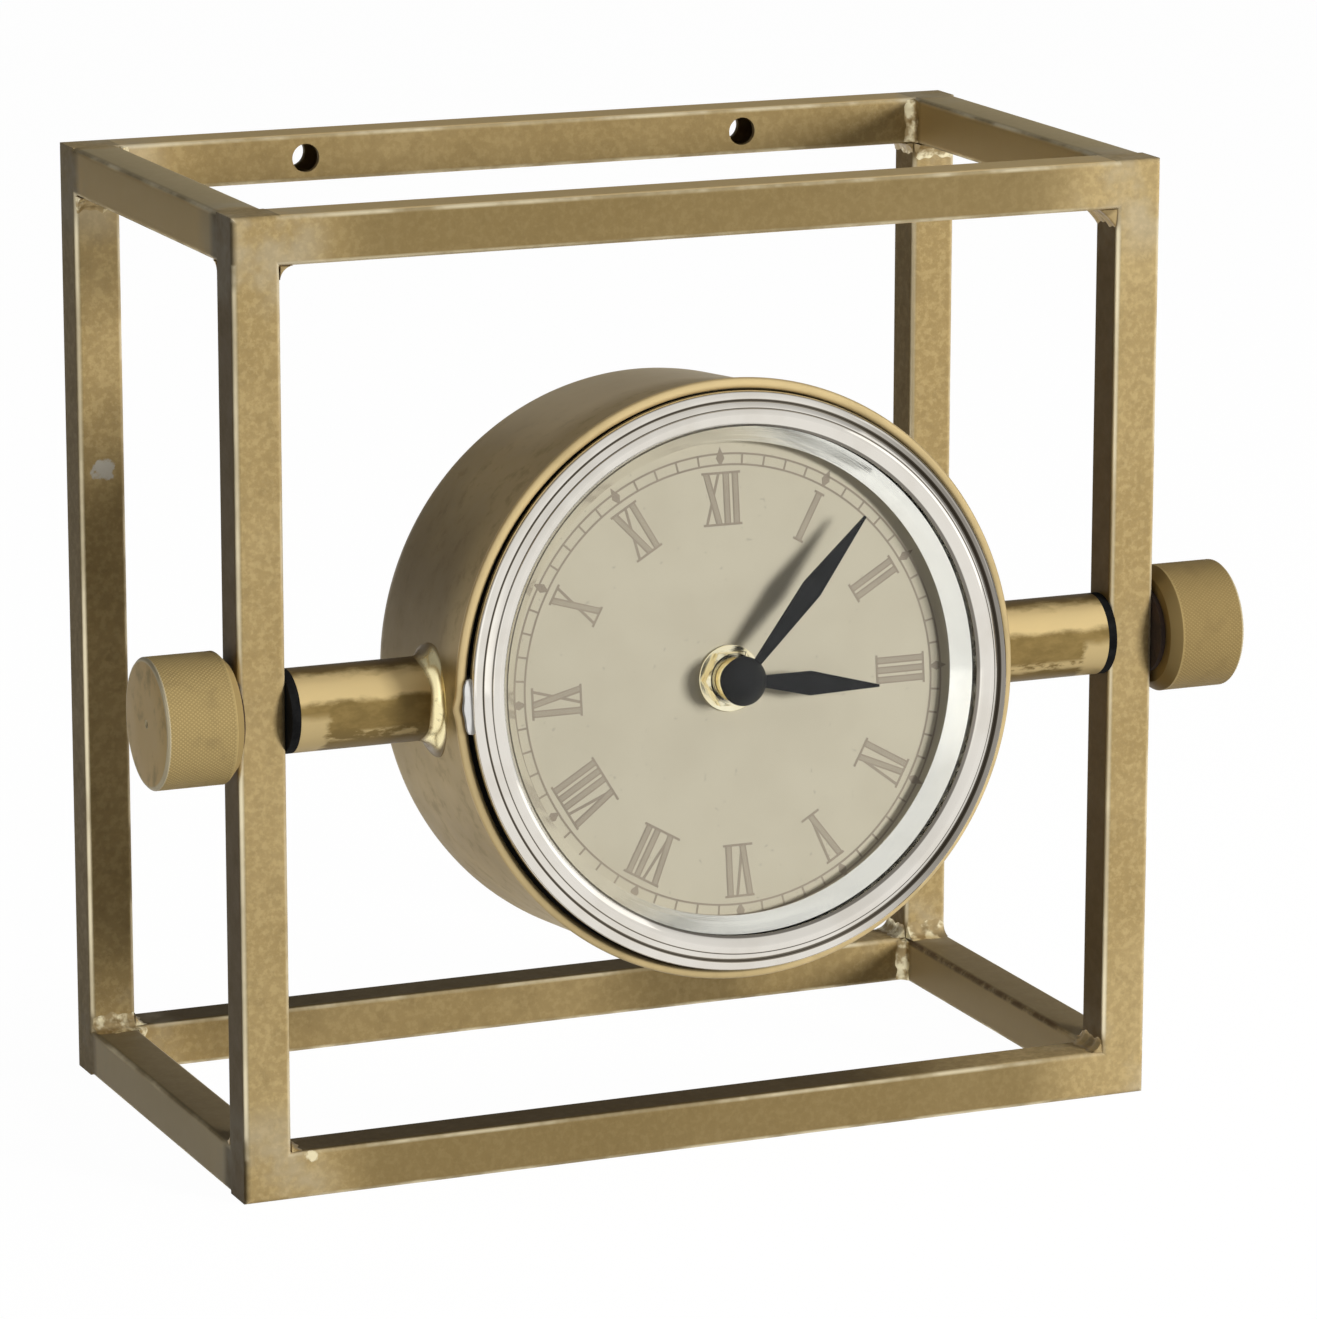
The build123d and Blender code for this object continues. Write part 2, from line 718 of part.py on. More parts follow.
with BuildPart() as third_wheel:
    pivoted_arbor(third_at)
    toothed_disc(third_at, third_wheel_teeth, wheel_module, third_turn, layer_back(3), wheel_thickness)
    toothed_disc(
        third_at,
        third_pinion_teeth,
        wheel_module,
        third_pinion_turn,
        layer_back(3),
        wheel_thickness + layer_pitch,
    )
save(third_wheel, "third_wheel")

with BuildPart() as intermediate_wheel:
    pivoted_arbor(intermediate_at)
    toothed_disc(
        intermediate_at,
        intermediate_wheel_teeth,
        rotor_module,
        intermediate_turn,
        layer_back(4),
        wheel_thickness,
    )
    toothed_disc(
        intermediate_at,
        intermediate_pinion_teeth,
        wheel_module,
        intermediate_pinion_turn,
        layer_back(4),
        wheel_thickness + layer_pitch,
    )
save(intermediate_wheel, "intermediate_wheel")

magnet_front = layer_back(4) - layer_gap
magnet_back = magnet_front - magnet_thickness
with BuildPart() as rotor:
    pivoted_arbor(rotor_at)
    rod(rotor_at, magnet_radius, magnet_back, magnet_front)
    toothed_disc(rotor_at, rotor_pinion_teeth, rotor_module, rotor_turn, layer_back(4), wheel_thickness)
save(rotor, "rotor")

# Setting shaft and the knob behind the movement
cover_back = room_back - movement_wall
knob_front = cover_back - setting_knob_gap
with BuildPart() as setting_shaft:
    rod(setting_at, setting_shaft_radius, knob_front, room_front - layer_gap / 2)
    rod(setting_at, wheel_pivot_radius, knob_front, room_front + wheel_pivot_length)
    toothed_disc(setting_at, setting_teeth, wheel_module, setting_turn, layer_back(1), wheel_thickness)
save(setting_shaft, "setting_shaft")

with BuildPart() as setting_knob:
    rod(setting_at, setting_knob_radius, knob_front - setting_knob_thickness, knob_front)
save(setting_knob, "setting_knob")

# Motor stator, coil and circuit board in one plane behind the wheels
stator_back = (magnet_front + magnet_back - stator_thickness) / 2
yoke_bottom = stator_top - stator_yoke_width
window_bottom = stator_bottom + stator_pole_width
window_left = stator_left + stator_side
window_right = rotor_at[0] - magnet_radius - stator_gap
stator_middle = ((stator_left + stator_right) / 2, (stator_bottom + stator_top) / 2)
window_middle = ((window_left + window_right) / 2, (window_bottom + yoke_bottom) / 2)
coil_middle = ((window_left + window_right) / 2, stator_top - stator_yoke_width / 2)

with BuildPart() as stator:
    with BuildSketch(drum_plane.offset(stator_back)):
        with Locations(stator_middle):
            Rectangle(stator_right - stator_left, stator_top - stator_bottom)
        with Locations(window_middle):
            Rectangle(window_right - window_left, yoke_bottom - window_bottom, mode=Mode.SUBTRACT)
        with Locations(rotor_at):
            Circle(magnet_radius + stator_gap, mode=Mode.SUBTRACT)
    extrude(amount=stator_thickness)
save(stator, "stator")

coil_hole_width = stator_yoke_width + 2 * coil_clearance
coil_hole_height = stator_thickness + 2 * coil_clearance
with BuildPart() as coil:
    coil_start = drum_plane.offset(stator_back + stator_thickness / 2).location * Pos(
        coil_middle[0] - coil_length / 2, coil_middle[1], 0
    )
    with BuildSketch(Plane(coil_start * Location((0, 0, 0), (90, 90, 0)))) as coil_section:
        RectangleRounded(coil_hole_width + 2 * coil_build, coil_hole_height + 2 * coil_build, coil_build)
        Rectangle(coil_hole_width, coil_hole_height, mode=Mode.SUBTRACT)
    extrude(amount=coil_length)
save(coil, "coil")

board_middle = (board_left + board_length / 2, board_bottom + board_width / 2)
with BuildPart() as circuit_board:
    with BuildSketch(drum_plane.offset(stator_back)):
        with Locations(board_middle):
            Rectangle(board_length, board_width)
    extrude(amount=board_thickness)
save(circuit_board, "circuit_board")

with BuildPart() as timing_chip:
    with BuildSketch(drum_plane.offset(stator_back + board_thickness)):
        with Locations(board_middle):
            Rectangle(chip_size, chip_size)
    extrude(amount=chip_thickness)
save(timing_chip, "timing_chip")

# Movement case: the front shell with a battery bay, and the cover that carries the pillars
blind_arbors = (minute_wheel_at, third_at, intermediate_at, rotor_at)
pivot_hole_radius = wheel_pivot_radius + running_fit
pivot_hole_depth = wheel_pivot_length + running_fit
with BuildPart() as movement_case:
    with BuildSketch(drum_plane.offset(room_back)):
        Rectangle(movement_size, movement_size)
    extrude(amount=case_front - room_back)
    with BuildSketch(drum_plane.offset(room_back)):
        Rectangle(2 * room_half, 2 * room_half)
        with Locations((0, bay_top + movement_wall / 2)):
            Rectangle(2 * room_half, movement_wall, mode=Mode.SUBTRACT)
    extrude(amount=movement_inner_depth, mode=Mode.SUBTRACT)
    rod(centre_at, bushing_radius + seat_clearance, room_front, case_front, Mode.SUBTRACT)
    for arbor_at in blind_arbors + (setting_at,):
        rod(arbor_at, pivot_hole_radius, room_front, room_front + pivot_hole_depth, Mode.SUBTRACT)
save(movement_case, "movement_case")

board_pillars = (
    (board_left + pillar_radius, board_bottom + pillar_radius),
    (board_left + pillar_radius, board_bottom + board_width - pillar_radius),
    (board_left + board_length - pillar_radius, board_bottom + pillar_radius),
    (board_left + board_length - pillar_radius, board_bottom + board_width - pillar_radius),
)
stator_pillars = (
    (stator_left + pillar_radius, stator_bottom + pillar_radius),
    (stator_left + pillar_radius, stator_top - pillar_radius),
    (stator_right - pillar_radius, stator_top - pillar_radius),
    (window_right - pillar_radius, stator_bottom + pillar_radius),
)
with BuildPart() as movement_cover:
    with BuildSketch(drum_plane.offset(cover_back)):
        Rectangle(movement_size, movement_size)
        with Locations((0, bay_middle)):
            Rectangle(2 * room_half, battery_bay_height, mode=Mode.SUBTRACT)
    extrude(amount=movement_wall)
    for pillar_at in board_pillars + stator_pillars:
        rod(pillar_at, pillar_radius, room_back, stator_back)
    for arbor_at in blind_arbors + (centre_at,):
        rod(arbor_at, pivot_hole_radius, room_back - pivot_hole_depth, room_back, Mode.SUBTRACT)
    rod(setting_at, setting_shaft_radius + running_fit, cover_back, room_back, Mode.SUBTRACT)
save(movement_cover, "movement_cover")

# Battery and its two contact leaves
battery_middle = (room_front + room_back) / 2
cell_plane = Plane(
    origin=drum_plane.from_local_coords((-battery_length / 2, bay_middle, battery_middle)),
    x_dir=drum_plane.y_dir,
    z_dir=drum_plane.x_dir,
)
with BuildPart() as battery:
    with BuildSketch(cell_plane):
        Circle(battery_diameter / 2)
    extrude(amount=battery_length)
    with BuildSketch(cell_plane.offset(battery_length)):
        Circle(battery_nub_diameter / 2)
    extrude(amount=battery_nub_length)
save(battery, "battery")

leaf_ends = (-battery_length / 2, battery_length / 2 + battery_nub_length)
with BuildPart() as battery_contacts:
    for side, leaf_tip in zip((-1, 1), leaf_ends):
        wall_face = side * room_half
        plate_face = wall_face - side * contact_thickness
        tip_face = leaf_tip + side * face_clearance
        half = contact_width / 2
        with BuildSketch(drum_plane.offset(battery_middle - half)):
            with BuildLine():
                Polyline(
                    (wall_face, bay_middle - half),
                    (wall_face, bay_middle + half),
                    (plate_face, bay_middle + half),
                    (tip_face, bay_middle + contact_thickness),
                    (tip_face, bay_middle - contact_thickness),
                    (plate_face, bay_middle - half),
                    close=True,
                )
            make_face()
        extrude(amount=contact_width)
save(battery_contacts, "battery_contacts")

# Hands


def hand(angle, length, half_width, widest_at, neck, back, bore):
    """Lozenge hand on a round collar, pointing at a clock angle, added to the current part."""
    right = drum_plane.x_dir * cos(radians(angle)) - drum_plane.y_dir * sin(radians(angle))
    with BuildSketch(Plane(origin=pivot + forward * back, x_dir=right, z_dir=forward)) as section:
        with BuildLine():
            Polyline(
                (-neck, 0),
                (-neck, hand_collar_radius),
                (-half_width, widest_at),
                (-hand_tip_half_width, length),
                (hand_tip_half_width, length),
                (half_width, widest_at),
                (neck, hand_collar_radius),
                (neck, 0),
                close=True,
            )
        make_face()
        Circle(hand_collar_radius)
        Circle(bore, mode=Mode.SUBTRACT)
    extrude(section.sketch, amount=hand_thickness)


with BuildPart() as hour_hand:
    hand(
        hour_hand_angle,
        hour_hand_length,
        hour_hand_half_width,
        hour_hand_widest_at,
        hour_hand_neck,
        hour_hand_back,
        pipe_radius,
    )
save(hour_hand, "hour_hand")

with BuildPart() as minute_hand:
    hand(
        minute_hand_angle,
        minute_hand_length,
        minute_hand_half_width,
        minute_hand_widest_at,
        minute_hand_neck,
        minute_hand_back,
        arbor_radius,
    )
save(minute_hand, "minute_hand")

with BuildPart() as hand_cap:
    cap_curve = (hand_cap_radius**2 + hand_cap_height**2) / (2 * hand_cap_height)
    cap_half_drop = cap_curve - sqrt(cap_curve**2 - hand_cap_radius**2 / 4)
    with BuildSketch(turning_plane):
        with BuildLine():
            Line((0, cap_back), (hand_cap_radius, cap_back))
            ThreePointArc(
                (hand_cap_radius, cap_back),
                (hand_cap_radius / 2, cap_back + hand_cap_height - cap_half_drop),
                (0, cap_back + hand_cap_height),
            )
            Line((0, cap_back + hand_cap_height), (0, cap_back))
        make_face()
    revolve(axis=drum_axis)
save(hand_cap, "hand_cap")
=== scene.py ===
# %% [markdown]
# A desk clock in an open brass frame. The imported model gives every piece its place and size, in metres: +X is to
# the right of someone facing the dial, -Y is towards them and +Z is up. This lesson keeps the pieces whose plain
# shape is right, makes finer ones where the eye lingers, and then gives each finish its own procedural material.

# %% load the frame
import bmesh
import bpy
import json
import numpy as np
from mathutils import Matrix, Vector


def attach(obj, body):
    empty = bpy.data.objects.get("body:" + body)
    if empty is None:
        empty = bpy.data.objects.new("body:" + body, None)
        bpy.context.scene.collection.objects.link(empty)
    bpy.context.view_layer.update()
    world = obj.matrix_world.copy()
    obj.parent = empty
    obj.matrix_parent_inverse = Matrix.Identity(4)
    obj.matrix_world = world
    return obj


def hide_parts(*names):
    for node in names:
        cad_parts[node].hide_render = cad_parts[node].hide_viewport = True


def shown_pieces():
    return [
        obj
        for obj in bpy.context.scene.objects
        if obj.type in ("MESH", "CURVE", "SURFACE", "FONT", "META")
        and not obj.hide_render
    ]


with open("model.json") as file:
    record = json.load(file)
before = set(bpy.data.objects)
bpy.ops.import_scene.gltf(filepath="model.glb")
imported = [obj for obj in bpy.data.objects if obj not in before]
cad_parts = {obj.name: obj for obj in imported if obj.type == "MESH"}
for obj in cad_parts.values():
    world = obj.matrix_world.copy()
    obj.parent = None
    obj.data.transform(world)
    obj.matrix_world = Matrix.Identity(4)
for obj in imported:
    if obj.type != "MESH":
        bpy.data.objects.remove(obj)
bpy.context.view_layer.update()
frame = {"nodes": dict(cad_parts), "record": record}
slot_of = {row["node"]: row["material_slot"] for row in frame["record"]["subparts"]}
MM = 0.001
print("loaded", len(frame["nodes"]), "nodes")

# %% [markdown]
# The drum leans back by seven degrees, so its round pieces are easiest to describe in its own directions: x to the
# right, y up along the dial and d forward along the axis, all in millimetres from the pivot. One function carries
# such points into the shared frame.

# %% drum directions
TILT = np.radians(7.0)
PIVOT = np.array([0.0, 0.0, 100.0])
DRUM_RIGHT = np.array([1.0, 0.0, 0.0])
DRUM_UP = np.array([0.0, np.sin(TILT), np.cos(TILT)])
DRUM_FORWARD = np.array([0.0, -np.cos(TILT), np.sin(TILT)])


def on_drum(x, y, d):
    """Point in the shared frame, in millimetres: the pivot plus x, y and d along the drum's three directions."""
    x, y, d = np.broadcast_arrays(x, y, d)
    return PIVOT + x[..., None] * DRUM_RIGHT + y[..., None] * DRUM_UP + d[..., None] * DRUM_FORWARD


def arc(centre, radius, start, stop, count):
    """Points on a circle: centre plus radius times (cosine, sine) of angles spread from start to stop, in degrees."""
    angle = np.radians(np.linspace(start, stop, count))
    return np.stack([centre[0] + radius * np.cos(angle), centre[1] + radius * np.sin(angle)], 1)


def through(*parts):
    """One profile from several runs of points, each a list of (radius, distance) pairs."""
    return np.concatenate([np.asarray(part, float).reshape(-1, 2) for part in parts])


print("drum axis points along", DRUM_FORWARD.round(3))

# %% [markdown]
# Every new surface here is a grid of points, so one function turns a grid into a mesh. It joins each point to its
# neighbours in both directions, closes the grid where it wraps round, welds poles where many points meet, and
# turns all faces outwards. Edges sharper than a chosen angle stay crisp and the rest are shaded smooth. A lathe turns
# a profile of radius and distance round the drum's axis, as the real spinner and turner did.

# %% grids to meshes
CRISP, WELD_WITHIN = 35.0, 1e-7


def grid_faces(rows, columns, wrap_rows, wrap_columns):
    """Four-cornered faces of a grid: each joins a point to the next in its row and in its column."""
    row = np.arange(rows if wrap_rows else rows - 1)[:, None]
    column = np.arange(columns if wrap_columns else columns - 1)[None, :]
    below, beside = (row + 1) % rows, (column + 1) % columns
    corners = [row * columns + column, below * columns + column, below * columns + beside, row * columns + beside]
    return np.stack(np.broadcast_arrays(*corners), -1).reshape(-1, 4)


def add(name, data):
    """New object at the origin, linked to the scene."""
    made = bpy.data.objects.new(name, data)
    bpy.context.scene.collection.objects.link(made)
    return made


def piece(name, points, faces, body, slot, stands_for=(), crisp=CRISP):
    """A named mesh from points in millimetres and faces, welded, turned outwards and tied to a body and a slot."""
    mesh = bpy.data.meshes.new(name)
    mesh.from_pydata((np.asarray(points).reshape(-1, 3) * MM).tolist(), [], faces.tolist())
    work = bmesh.new()
    work.from_mesh(mesh)
    bmesh.ops.remove_doubles(work, verts=work.verts, dist=WELD_WITHIN)
    bmesh.ops.dissolve_degenerate(work, edges=work.edges, dist=WELD_WITHIN)
    bmesh.ops.recalc_face_normals(work, faces=work.faces)
    work.to_mesh(mesh)
    work.free()
    mesh.shade_smooth()
    mesh.set_sharp_from_angle(angle=np.radians(crisp))
    made = add(name, mesh)
    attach(made, body)
    if stands_for:
        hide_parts(*stands_for)
    slot_of[name] = slot
    print(name, len(mesh.polygons), "faces")


def lathe(name, profile, around, body, slot, stands_for=(), crisp=CRISP, closed=False, bend=None, place=on_drum):
    """Surface of revolution about the drum's axis: x = r sin(a), y = r cos(a), d = d for each profile point (r, d)."""
    angle = np.linspace(0, 2 * np.pi, around, endpoint=False)[:, None]
    radius, distance = profile[:, 0][None, :] + 0 * angle, profile[:, 1][None, :] + 0 * angle
    if bend:
        radius, distance = bend(angle, radius, distance)
    points = place(radius * np.sin(angle), radius * np.cos(angle), distance)
    piece(name, points, grid_faces(around, len(profile), True, closed), body, slot, stands_for, crisp)


print("mesh helpers ready")

# %% [markdown]
# The camera comes from a fit to the photograph: where it stands, which way it looks and how long its lens is. The
# optical axis misses the middle of the picture, so the lens is shifted a little, as on a view camera.

# %% camera
IMAGE_WIDE, IMAGE_HIGH = 1317.0, 1319.0
FOCAL_PX, AXIS_PX = 6510.998, (708.882, 760.665)
AZIMUTH, ELEVATION, ROLL = np.radians([-23.536, 13.994, 0.182])
AIM = np.array([-0.004, -5.0, 82.357])
DISTANCE = 1325.681
back = np.array([
    np.sin(AZIMUTH) * np.cos(ELEVATION), -np.cos(AZIMUTH) * np.cos(ELEVATION), np.sin(ELEVATION)])
level = np.cross(-back, [0.0, 0.0, 1.0])
level /= np.linalg.norm(level)
upright = np.cross(level, -back)
view_right = np.cos(ROLL) * level + np.sin(ROLL) * upright
view_up = np.cos(ROLL) * upright - np.sin(ROLL) * level
lens_data = bpy.data.cameras.new("view")
lens_data.sensor_width = 36.0
lens_data.lens = FOCAL_PX * lens_data.sensor_width / IMAGE_HIGH
lens_data.shift_x = (IMAGE_WIDE / 2 - AXIS_PX[0]) / IMAGE_HIGH
lens_data.shift_y = (AXIS_PX[1] - IMAGE_HIGH / 2) / IMAGE_HIGH
lens_data.clip_end = 50.0
camera = add("view", lens_data)
camera.matrix_world = Matrix.Translation(Vector((AIM + back * DISTANCE) * MM)) @ Matrix(
    np.stack([view_right, view_up, back], 1).tolist()).to_4x4()
bpy.context.scene.camera = camera
bpy.context.scene.view_settings.view_transform = "Standard"
print("lens", round(lens_data.lens, 1), "mm, shift", round(lens_data.shift_x, 4), round(lens_data.shift_y, 4))

# %% [markdown]
# The drum is a spun brass cup. A spinner rolls the sheet over a former, which leaves a rounded back edge, a rolled
# bead at the mouth and very faint rings. The insert sits a little askew in it, so the drum leans slightly less than
# the dial: the bead reaches the bezel at the top and leaves a dark gap below. At nine o'clock a knock has left a step.

# %% drum
DRUM_RADIUS, DRUM_WALL, RIM_AT, BACK_AT = 59.4, 1.0, 19.6, -33.0
BACK_ROUND, BEAD, BEAD_RADIUS = 8.0, 1.1, 59.75
WALL_FROM, WALL_TO, BORE_FROM, BORE_TO = -20.0, RIM_AT - 1.2, RIM_AT - 1.0, -22.0
LEAN, RISE = np.radians(1.5), 0.6
round_at = (DRUM_RADIUS - BACK_ROUND, BACK_AT + BACK_ROUND)
drum_profile = through(
    [(0, BACK_AT), (20, BACK_AT), (40, BACK_AT)],
    arc(round_at, BACK_ROUND, -90, 0, 14),
    [(DRUM_RADIUS, d) for d in np.linspace(WALL_FROM, WALL_TO, 20)],
    arc((BEAD_RADIUS, RIM_AT), BEAD, -70, 200, 20),
    [(DRUM_RADIUS - DRUM_WALL, d) for d in np.linspace(BORE_FROM, BORE_TO, 8)],
    arc(round_at, BACK_ROUND - DRUM_WALL, 0, -90, 10),
    [(30, BACK_AT + DRUM_WALL), (0, BACK_AT + DRUM_WALL)])
KNOCK_AT, KNOCK_WIDTH, KNOCK_OUT, NEAR, FAR = 270.0, 1.7, 0.6, 0.5, 1.5
RIM_CLOSE, RIM_HANGS, RIM_BENDS_OVER = 0.1, 0.45, 5.0
HANGS_FROM, HANGS_FULL, CLOSE_UNTIL = 150.0, 215.0, 70.0


def ease(value, low, high):
    """Smooth step from 0 at low to 1 at high: three times the square minus twice the cube of the share between."""
    share = np.clip((value - low) / (high - low), 0, 1)
    return share * share * (3 - 2 * share)


def uneven_rim(angle, radius, distance):
    """Rim moved along the axis by the clock angle, with a step and a small bump outwards at nine o'clock."""
    turn = np.degrees(angle)
    below = ease(turn, HANGS_FROM, HANGS_FULL) * (1 - ease(turn, KNOCK_AT - FAR, KNOCK_AT + NEAR))
    above = ease(turn, KNOCK_AT - NEAR, KNOCK_AT + FAR) + (1 - ease(turn, 0, CLOSE_UNTIL)) * (turn < 180)
    near_rim = np.clip((distance - RIM_AT + RIM_BENDS_OVER + 1) / RIM_BENDS_OVER, 0, 1)
    bump = KNOCK_OUT * np.exp(-((turn - KNOCK_AT) / KNOCK_WIDTH) ** 2)
    return radius + bump * near_rim ** 3, distance + near_rim * (RIM_CLOSE * above - RIM_HANGS * below)


def leaning(x, y, d):
    """Points turned forward by the lean about the drum's x direction and raised, then carried into the frame."""
    return on_drum(x, y * np.cos(LEAN) - d * np.sin(LEAN) + RISE, d * np.cos(LEAN) + y * np.sin(LEAN))


lathe("drum_skin", drum_profile, 576, "drum", "antique_brass_drum", ["drum_shell"], bend=uneven_rim, place=leaning)

# %% [markdown]
# The bezel is turned and chrome plated: a rounded shoulder, a groove, and a roll that is highest near the glass and
# cut by a finer line. Inside the glass a polished ring slopes towards the dial and is undercut at its foot, which
# draws a dark line. Mirror metal shows every facet, so the profiles follow the real curves closely.

# %% bezel, reflector ring and glass
BEZEL_RADIUS, LIP_RADIUS, LENS_SEAT, BEZEL_UNDER = 58.4, 51.25, 21.4, 23.2
REBATE_RADIUS, LIP_UNDER, LIP_FRONT = 51.5, 23.45, 23.7
SKIRT_BORE, SKIRT_END, GROOVE, GROOVE_FLOOR = 56.5, 21.2, 56.4, 23.4
CREST_RADIUS, CREST_AT, CREST_POWER = 53.6, 25.3, 1.5
FINE_LINE, LINE_DEPTH, LINE_WIDTH, CHAMFER = 54.9, 0.22, 0.14, 0.15
SHOULDER_RADIUS, SHOULDER_AT, SHOULDER_RISE = 56.75, 22.4, 1.45
roll_r = np.linspace(GROOVE, LIP_RADIUS, 110)
roll_end = np.where(roll_r > CREST_RADIUS, GROOVE, LIP_RADIUS)
roll_drop = np.where(roll_r > CREST_RADIUS, CREST_AT - GROOVE_FLOOR, CREST_AT - LIP_FRONT)
roll_d = CREST_AT - roll_drop * np.abs((roll_r - CREST_RADIUS) / (roll_end - CREST_RADIUS)) ** CREST_POWER
roll_d = roll_d - LINE_DEPTH * np.exp(-((roll_r - FINE_LINE) / LINE_WIDTH) ** 2)
shoulder = np.radians(np.linspace(0, 90, 14))
bezel_profile = through(
    [(LIP_RADIUS, LIP_UNDER), (REBATE_RADIUS, LIP_UNDER), (REBATE_RADIUS, BEZEL_UNDER), (SKIRT_BORE, BEZEL_UNDER)],
    [(SKIRT_BORE, SKIRT_END), (BEZEL_RADIUS - CHAMFER, SKIRT_END), (BEZEL_RADIUS, SKIRT_END + CHAMFER)],
    np.stack([SHOULDER_RADIUS + (BEZEL_RADIUS - SHOULDER_RADIUS) * np.cos(shoulder),
              SHOULDER_AT + SHOULDER_RISE * np.sin(shoulder)], 1),
    np.stack([roll_r, roll_d], 1))
lathe("bezel_ring", bezel_profile, 360, "insert", "chrome_plate", ["bezel"], closed=True)

FOOT_RADIUS, SLOPE_RADIUS, SLOPE_FOOT, TOP_RADIUS = 49.3, 47.9, 18.0, 51.3
RING_WALL, RING_BACK, DIAL_FRONT, DIAL_RADIUS = 0.8, 51.8, 15.2, 52.4
UNDERCUT_FROM, UNDERCUT_TO = 0.25, 0.6
slope_share = np.linspace(0, 1, 14)
slope = np.stack([TOP_RADIUS + (SLOPE_RADIUS - TOP_RADIUS) * slope_share,
                  LENS_SEAT + (SLOPE_FOOT - LENS_SEAT) * slope_share], 1)
rehaut_profile = through(
    [(FOOT_RADIUS, DIAL_FRONT), (FOOT_RADIUS + RING_WALL, DIAL_FRONT), (RING_BACK, LENS_SEAT - RING_WALL)],
    [(DIAL_RADIUS, LENS_SEAT - RING_WALL), (DIAL_RADIUS, LENS_SEAT)], slope,
    [(SLOPE_RADIUS, SLOPE_FOOT - UNDERCUT_FROM), (FOOT_RADIUS, SLOPE_FOOT - UNDERCUT_TO)])
lathe("rehaut_ring", rehaut_profile, 360, "insert", "polished_steel", ["rehaut"], closed=True)

DOME_RADIUS, DOME_RISE = 51.4, 4.4
dome_curve = (DOME_RADIUS ** 2 + DOME_RISE ** 2) / (2 * DOME_RISE)
dome_r = np.linspace(0, DOME_RADIUS, 24)
dome_height = np.sqrt(dome_curve ** 2 - dome_r ** 2) - (dome_curve - DOME_RISE)
lens_profile = through(
    np.stack([dome_r, LENS_SEAT + dome_height], 1),
    [(DIAL_RADIUS, LENS_SEAT), (DIAL_RADIUS, BEZEL_UNDER)],
    np.stack([dome_r, BEZEL_UNDER + dome_height], 1)[::-1])
lathe("lens_dome", lens_profile, 180, "insert", "clear_glass", ["lens"])

# %% [markdown]
# At nine o'clock a bit of the white gasket has been squeezed out between the drum's bead and the bezel. It is a flat
# strip that follows the bezel's wall, with its broad side to the front, and ends bluntly.

# %% gasket bit
BIT_FROM, BIT_TO, BIT_BACK, BIT_FRONT, BIT_WIDE = 264.5, 275.5, 21.3, 22.5, 1.75
BIT_GAP, BIT_BLUNT, BIT_WAVE, BIT_WAVES = 0.02, 0.25, 0.06, 17
BIT_OUT = np.array([[0, 0.85, 1, 0.85, 0, 0]])
BIT_DEEP = np.array([[0, 0, 0.35, 0.7, 1, 0.5]])


def gasket_bit(name):
    """Strip along the bezel's wall: its radius plus a width that follows a low power of the sine along the strip."""
    share = np.linspace(0, 1, 41)[:, None]
    angle = np.radians(BIT_FROM + (BIT_TO - BIT_FROM) * share)
    swell = np.sin(np.pi * share) ** BIT_BLUNT
    wave = 1 + BIT_WAVE * np.sin(BIT_WAVES * share)
    radius = BEZEL_RADIUS + BIT_GAP + swell * wave * BIT_WIDE * BIT_OUT
    distance = BIT_BACK + swell * (BIT_FRONT - BIT_BACK) * BIT_DEEP
    points = on_drum(radius * np.sin(angle), radius * np.cos(angle), distance)
    piece(name, points, grid_faces(*radius.shape, False, True), "insert", "white_pvc")


gasket_bit("gasket_bit")

# %% [markdown]
# The knobs carry a fine diamond knurl, pressed by two wheels of slanted teeth. Its height is the lower of two
# triangle waves that climb round the knob in opposite directions, so small pyramids remain between the crossing
# grooves. It is real geometry, because it catches the light along the outline too.

# %% knurled knobs
KNOB_RADIUS, KNOB_IN, KNOB_OUT = 13.3, 102.05, 118.45
DIMPLE, DIMPLE_RADIUS, SCREW_RADIUS, SCREW_DEPTH = 0.6, 0.8, 3.0, 11.0
RIDGES, KNURL_PITCH, KNURL_DEPTH, KNURL_STEPS = 104, 0.95, 0.11, 92
KNURL_FROM, KNURL_TO, KNURL_FADE = KNOB_OUT - 0.6, KNOB_IN + 2.0, 0.5


def ripple(phase):
    """Triangle wave: one at whole numbers, falling straight to zero half way between them."""
    return np.abs(2 * (phase - np.floor(phase)) - 1)


def knob(name, side, body, stands_for):
    """Knob turned about the x axis, its radius lowered by the knurl: the lower of two crossing triangle waves."""
    knurl_along = np.linspace(KNURL_FROM, KNURL_TO, KNURL_STEPS)
    profile = through(
        [(0, KNOB_OUT - DIMPLE), (DIMPLE_RADIUS, KNOB_OUT), (6, KNOB_OUT), (KNOB_RADIUS - 0.75, KNOB_OUT)],
        [(KNOB_RADIUS - 0.5, KNOB_OUT - 0.08), (KNOB_RADIUS - 0.12, KNOB_OUT - 0.45)],
        np.stack([np.full(KNURL_STEPS, KNOB_RADIUS), knurl_along], 1),
        [(KNOB_RADIUS - 0.2, KNOB_IN + 1.7), (KNOB_RADIUS - 2.0, KNOB_IN), (SCREW_RADIUS, KNOB_IN)],
        [(SCREW_RADIUS, KNOB_IN + SCREW_DEPTH), (0, KNOB_IN + SCREW_DEPTH)])
    angle = np.linspace(0, 2 * np.pi, 6 * RIDGES, endpoint=False)[:, None]
    radius, along = profile[None, :, 0], profile[None, :, 1]
    knurled = (radius > KNOB_RADIUS - 0.01) * np.clip((along - KNURL_TO) / KNURL_FADE, 0, 1)
    turn = RIDGES * angle / (2 * np.pi)
    height = np.minimum(ripple(turn + along / KNURL_PITCH), ripple(turn - along / KNURL_PITCH))
    radius = radius - KNURL_DEPTH * knurled * (1 - height)
    points = np.stack([
        side * np.broadcast_to(along, radius.shape), radius * np.sin(angle), PIVOT[2] + radius * np.cos(angle)], -1)
    piece(name, points, grid_faces(*radius.shape, True, False), body, "knurled_brass", [stands_for], 25.0)


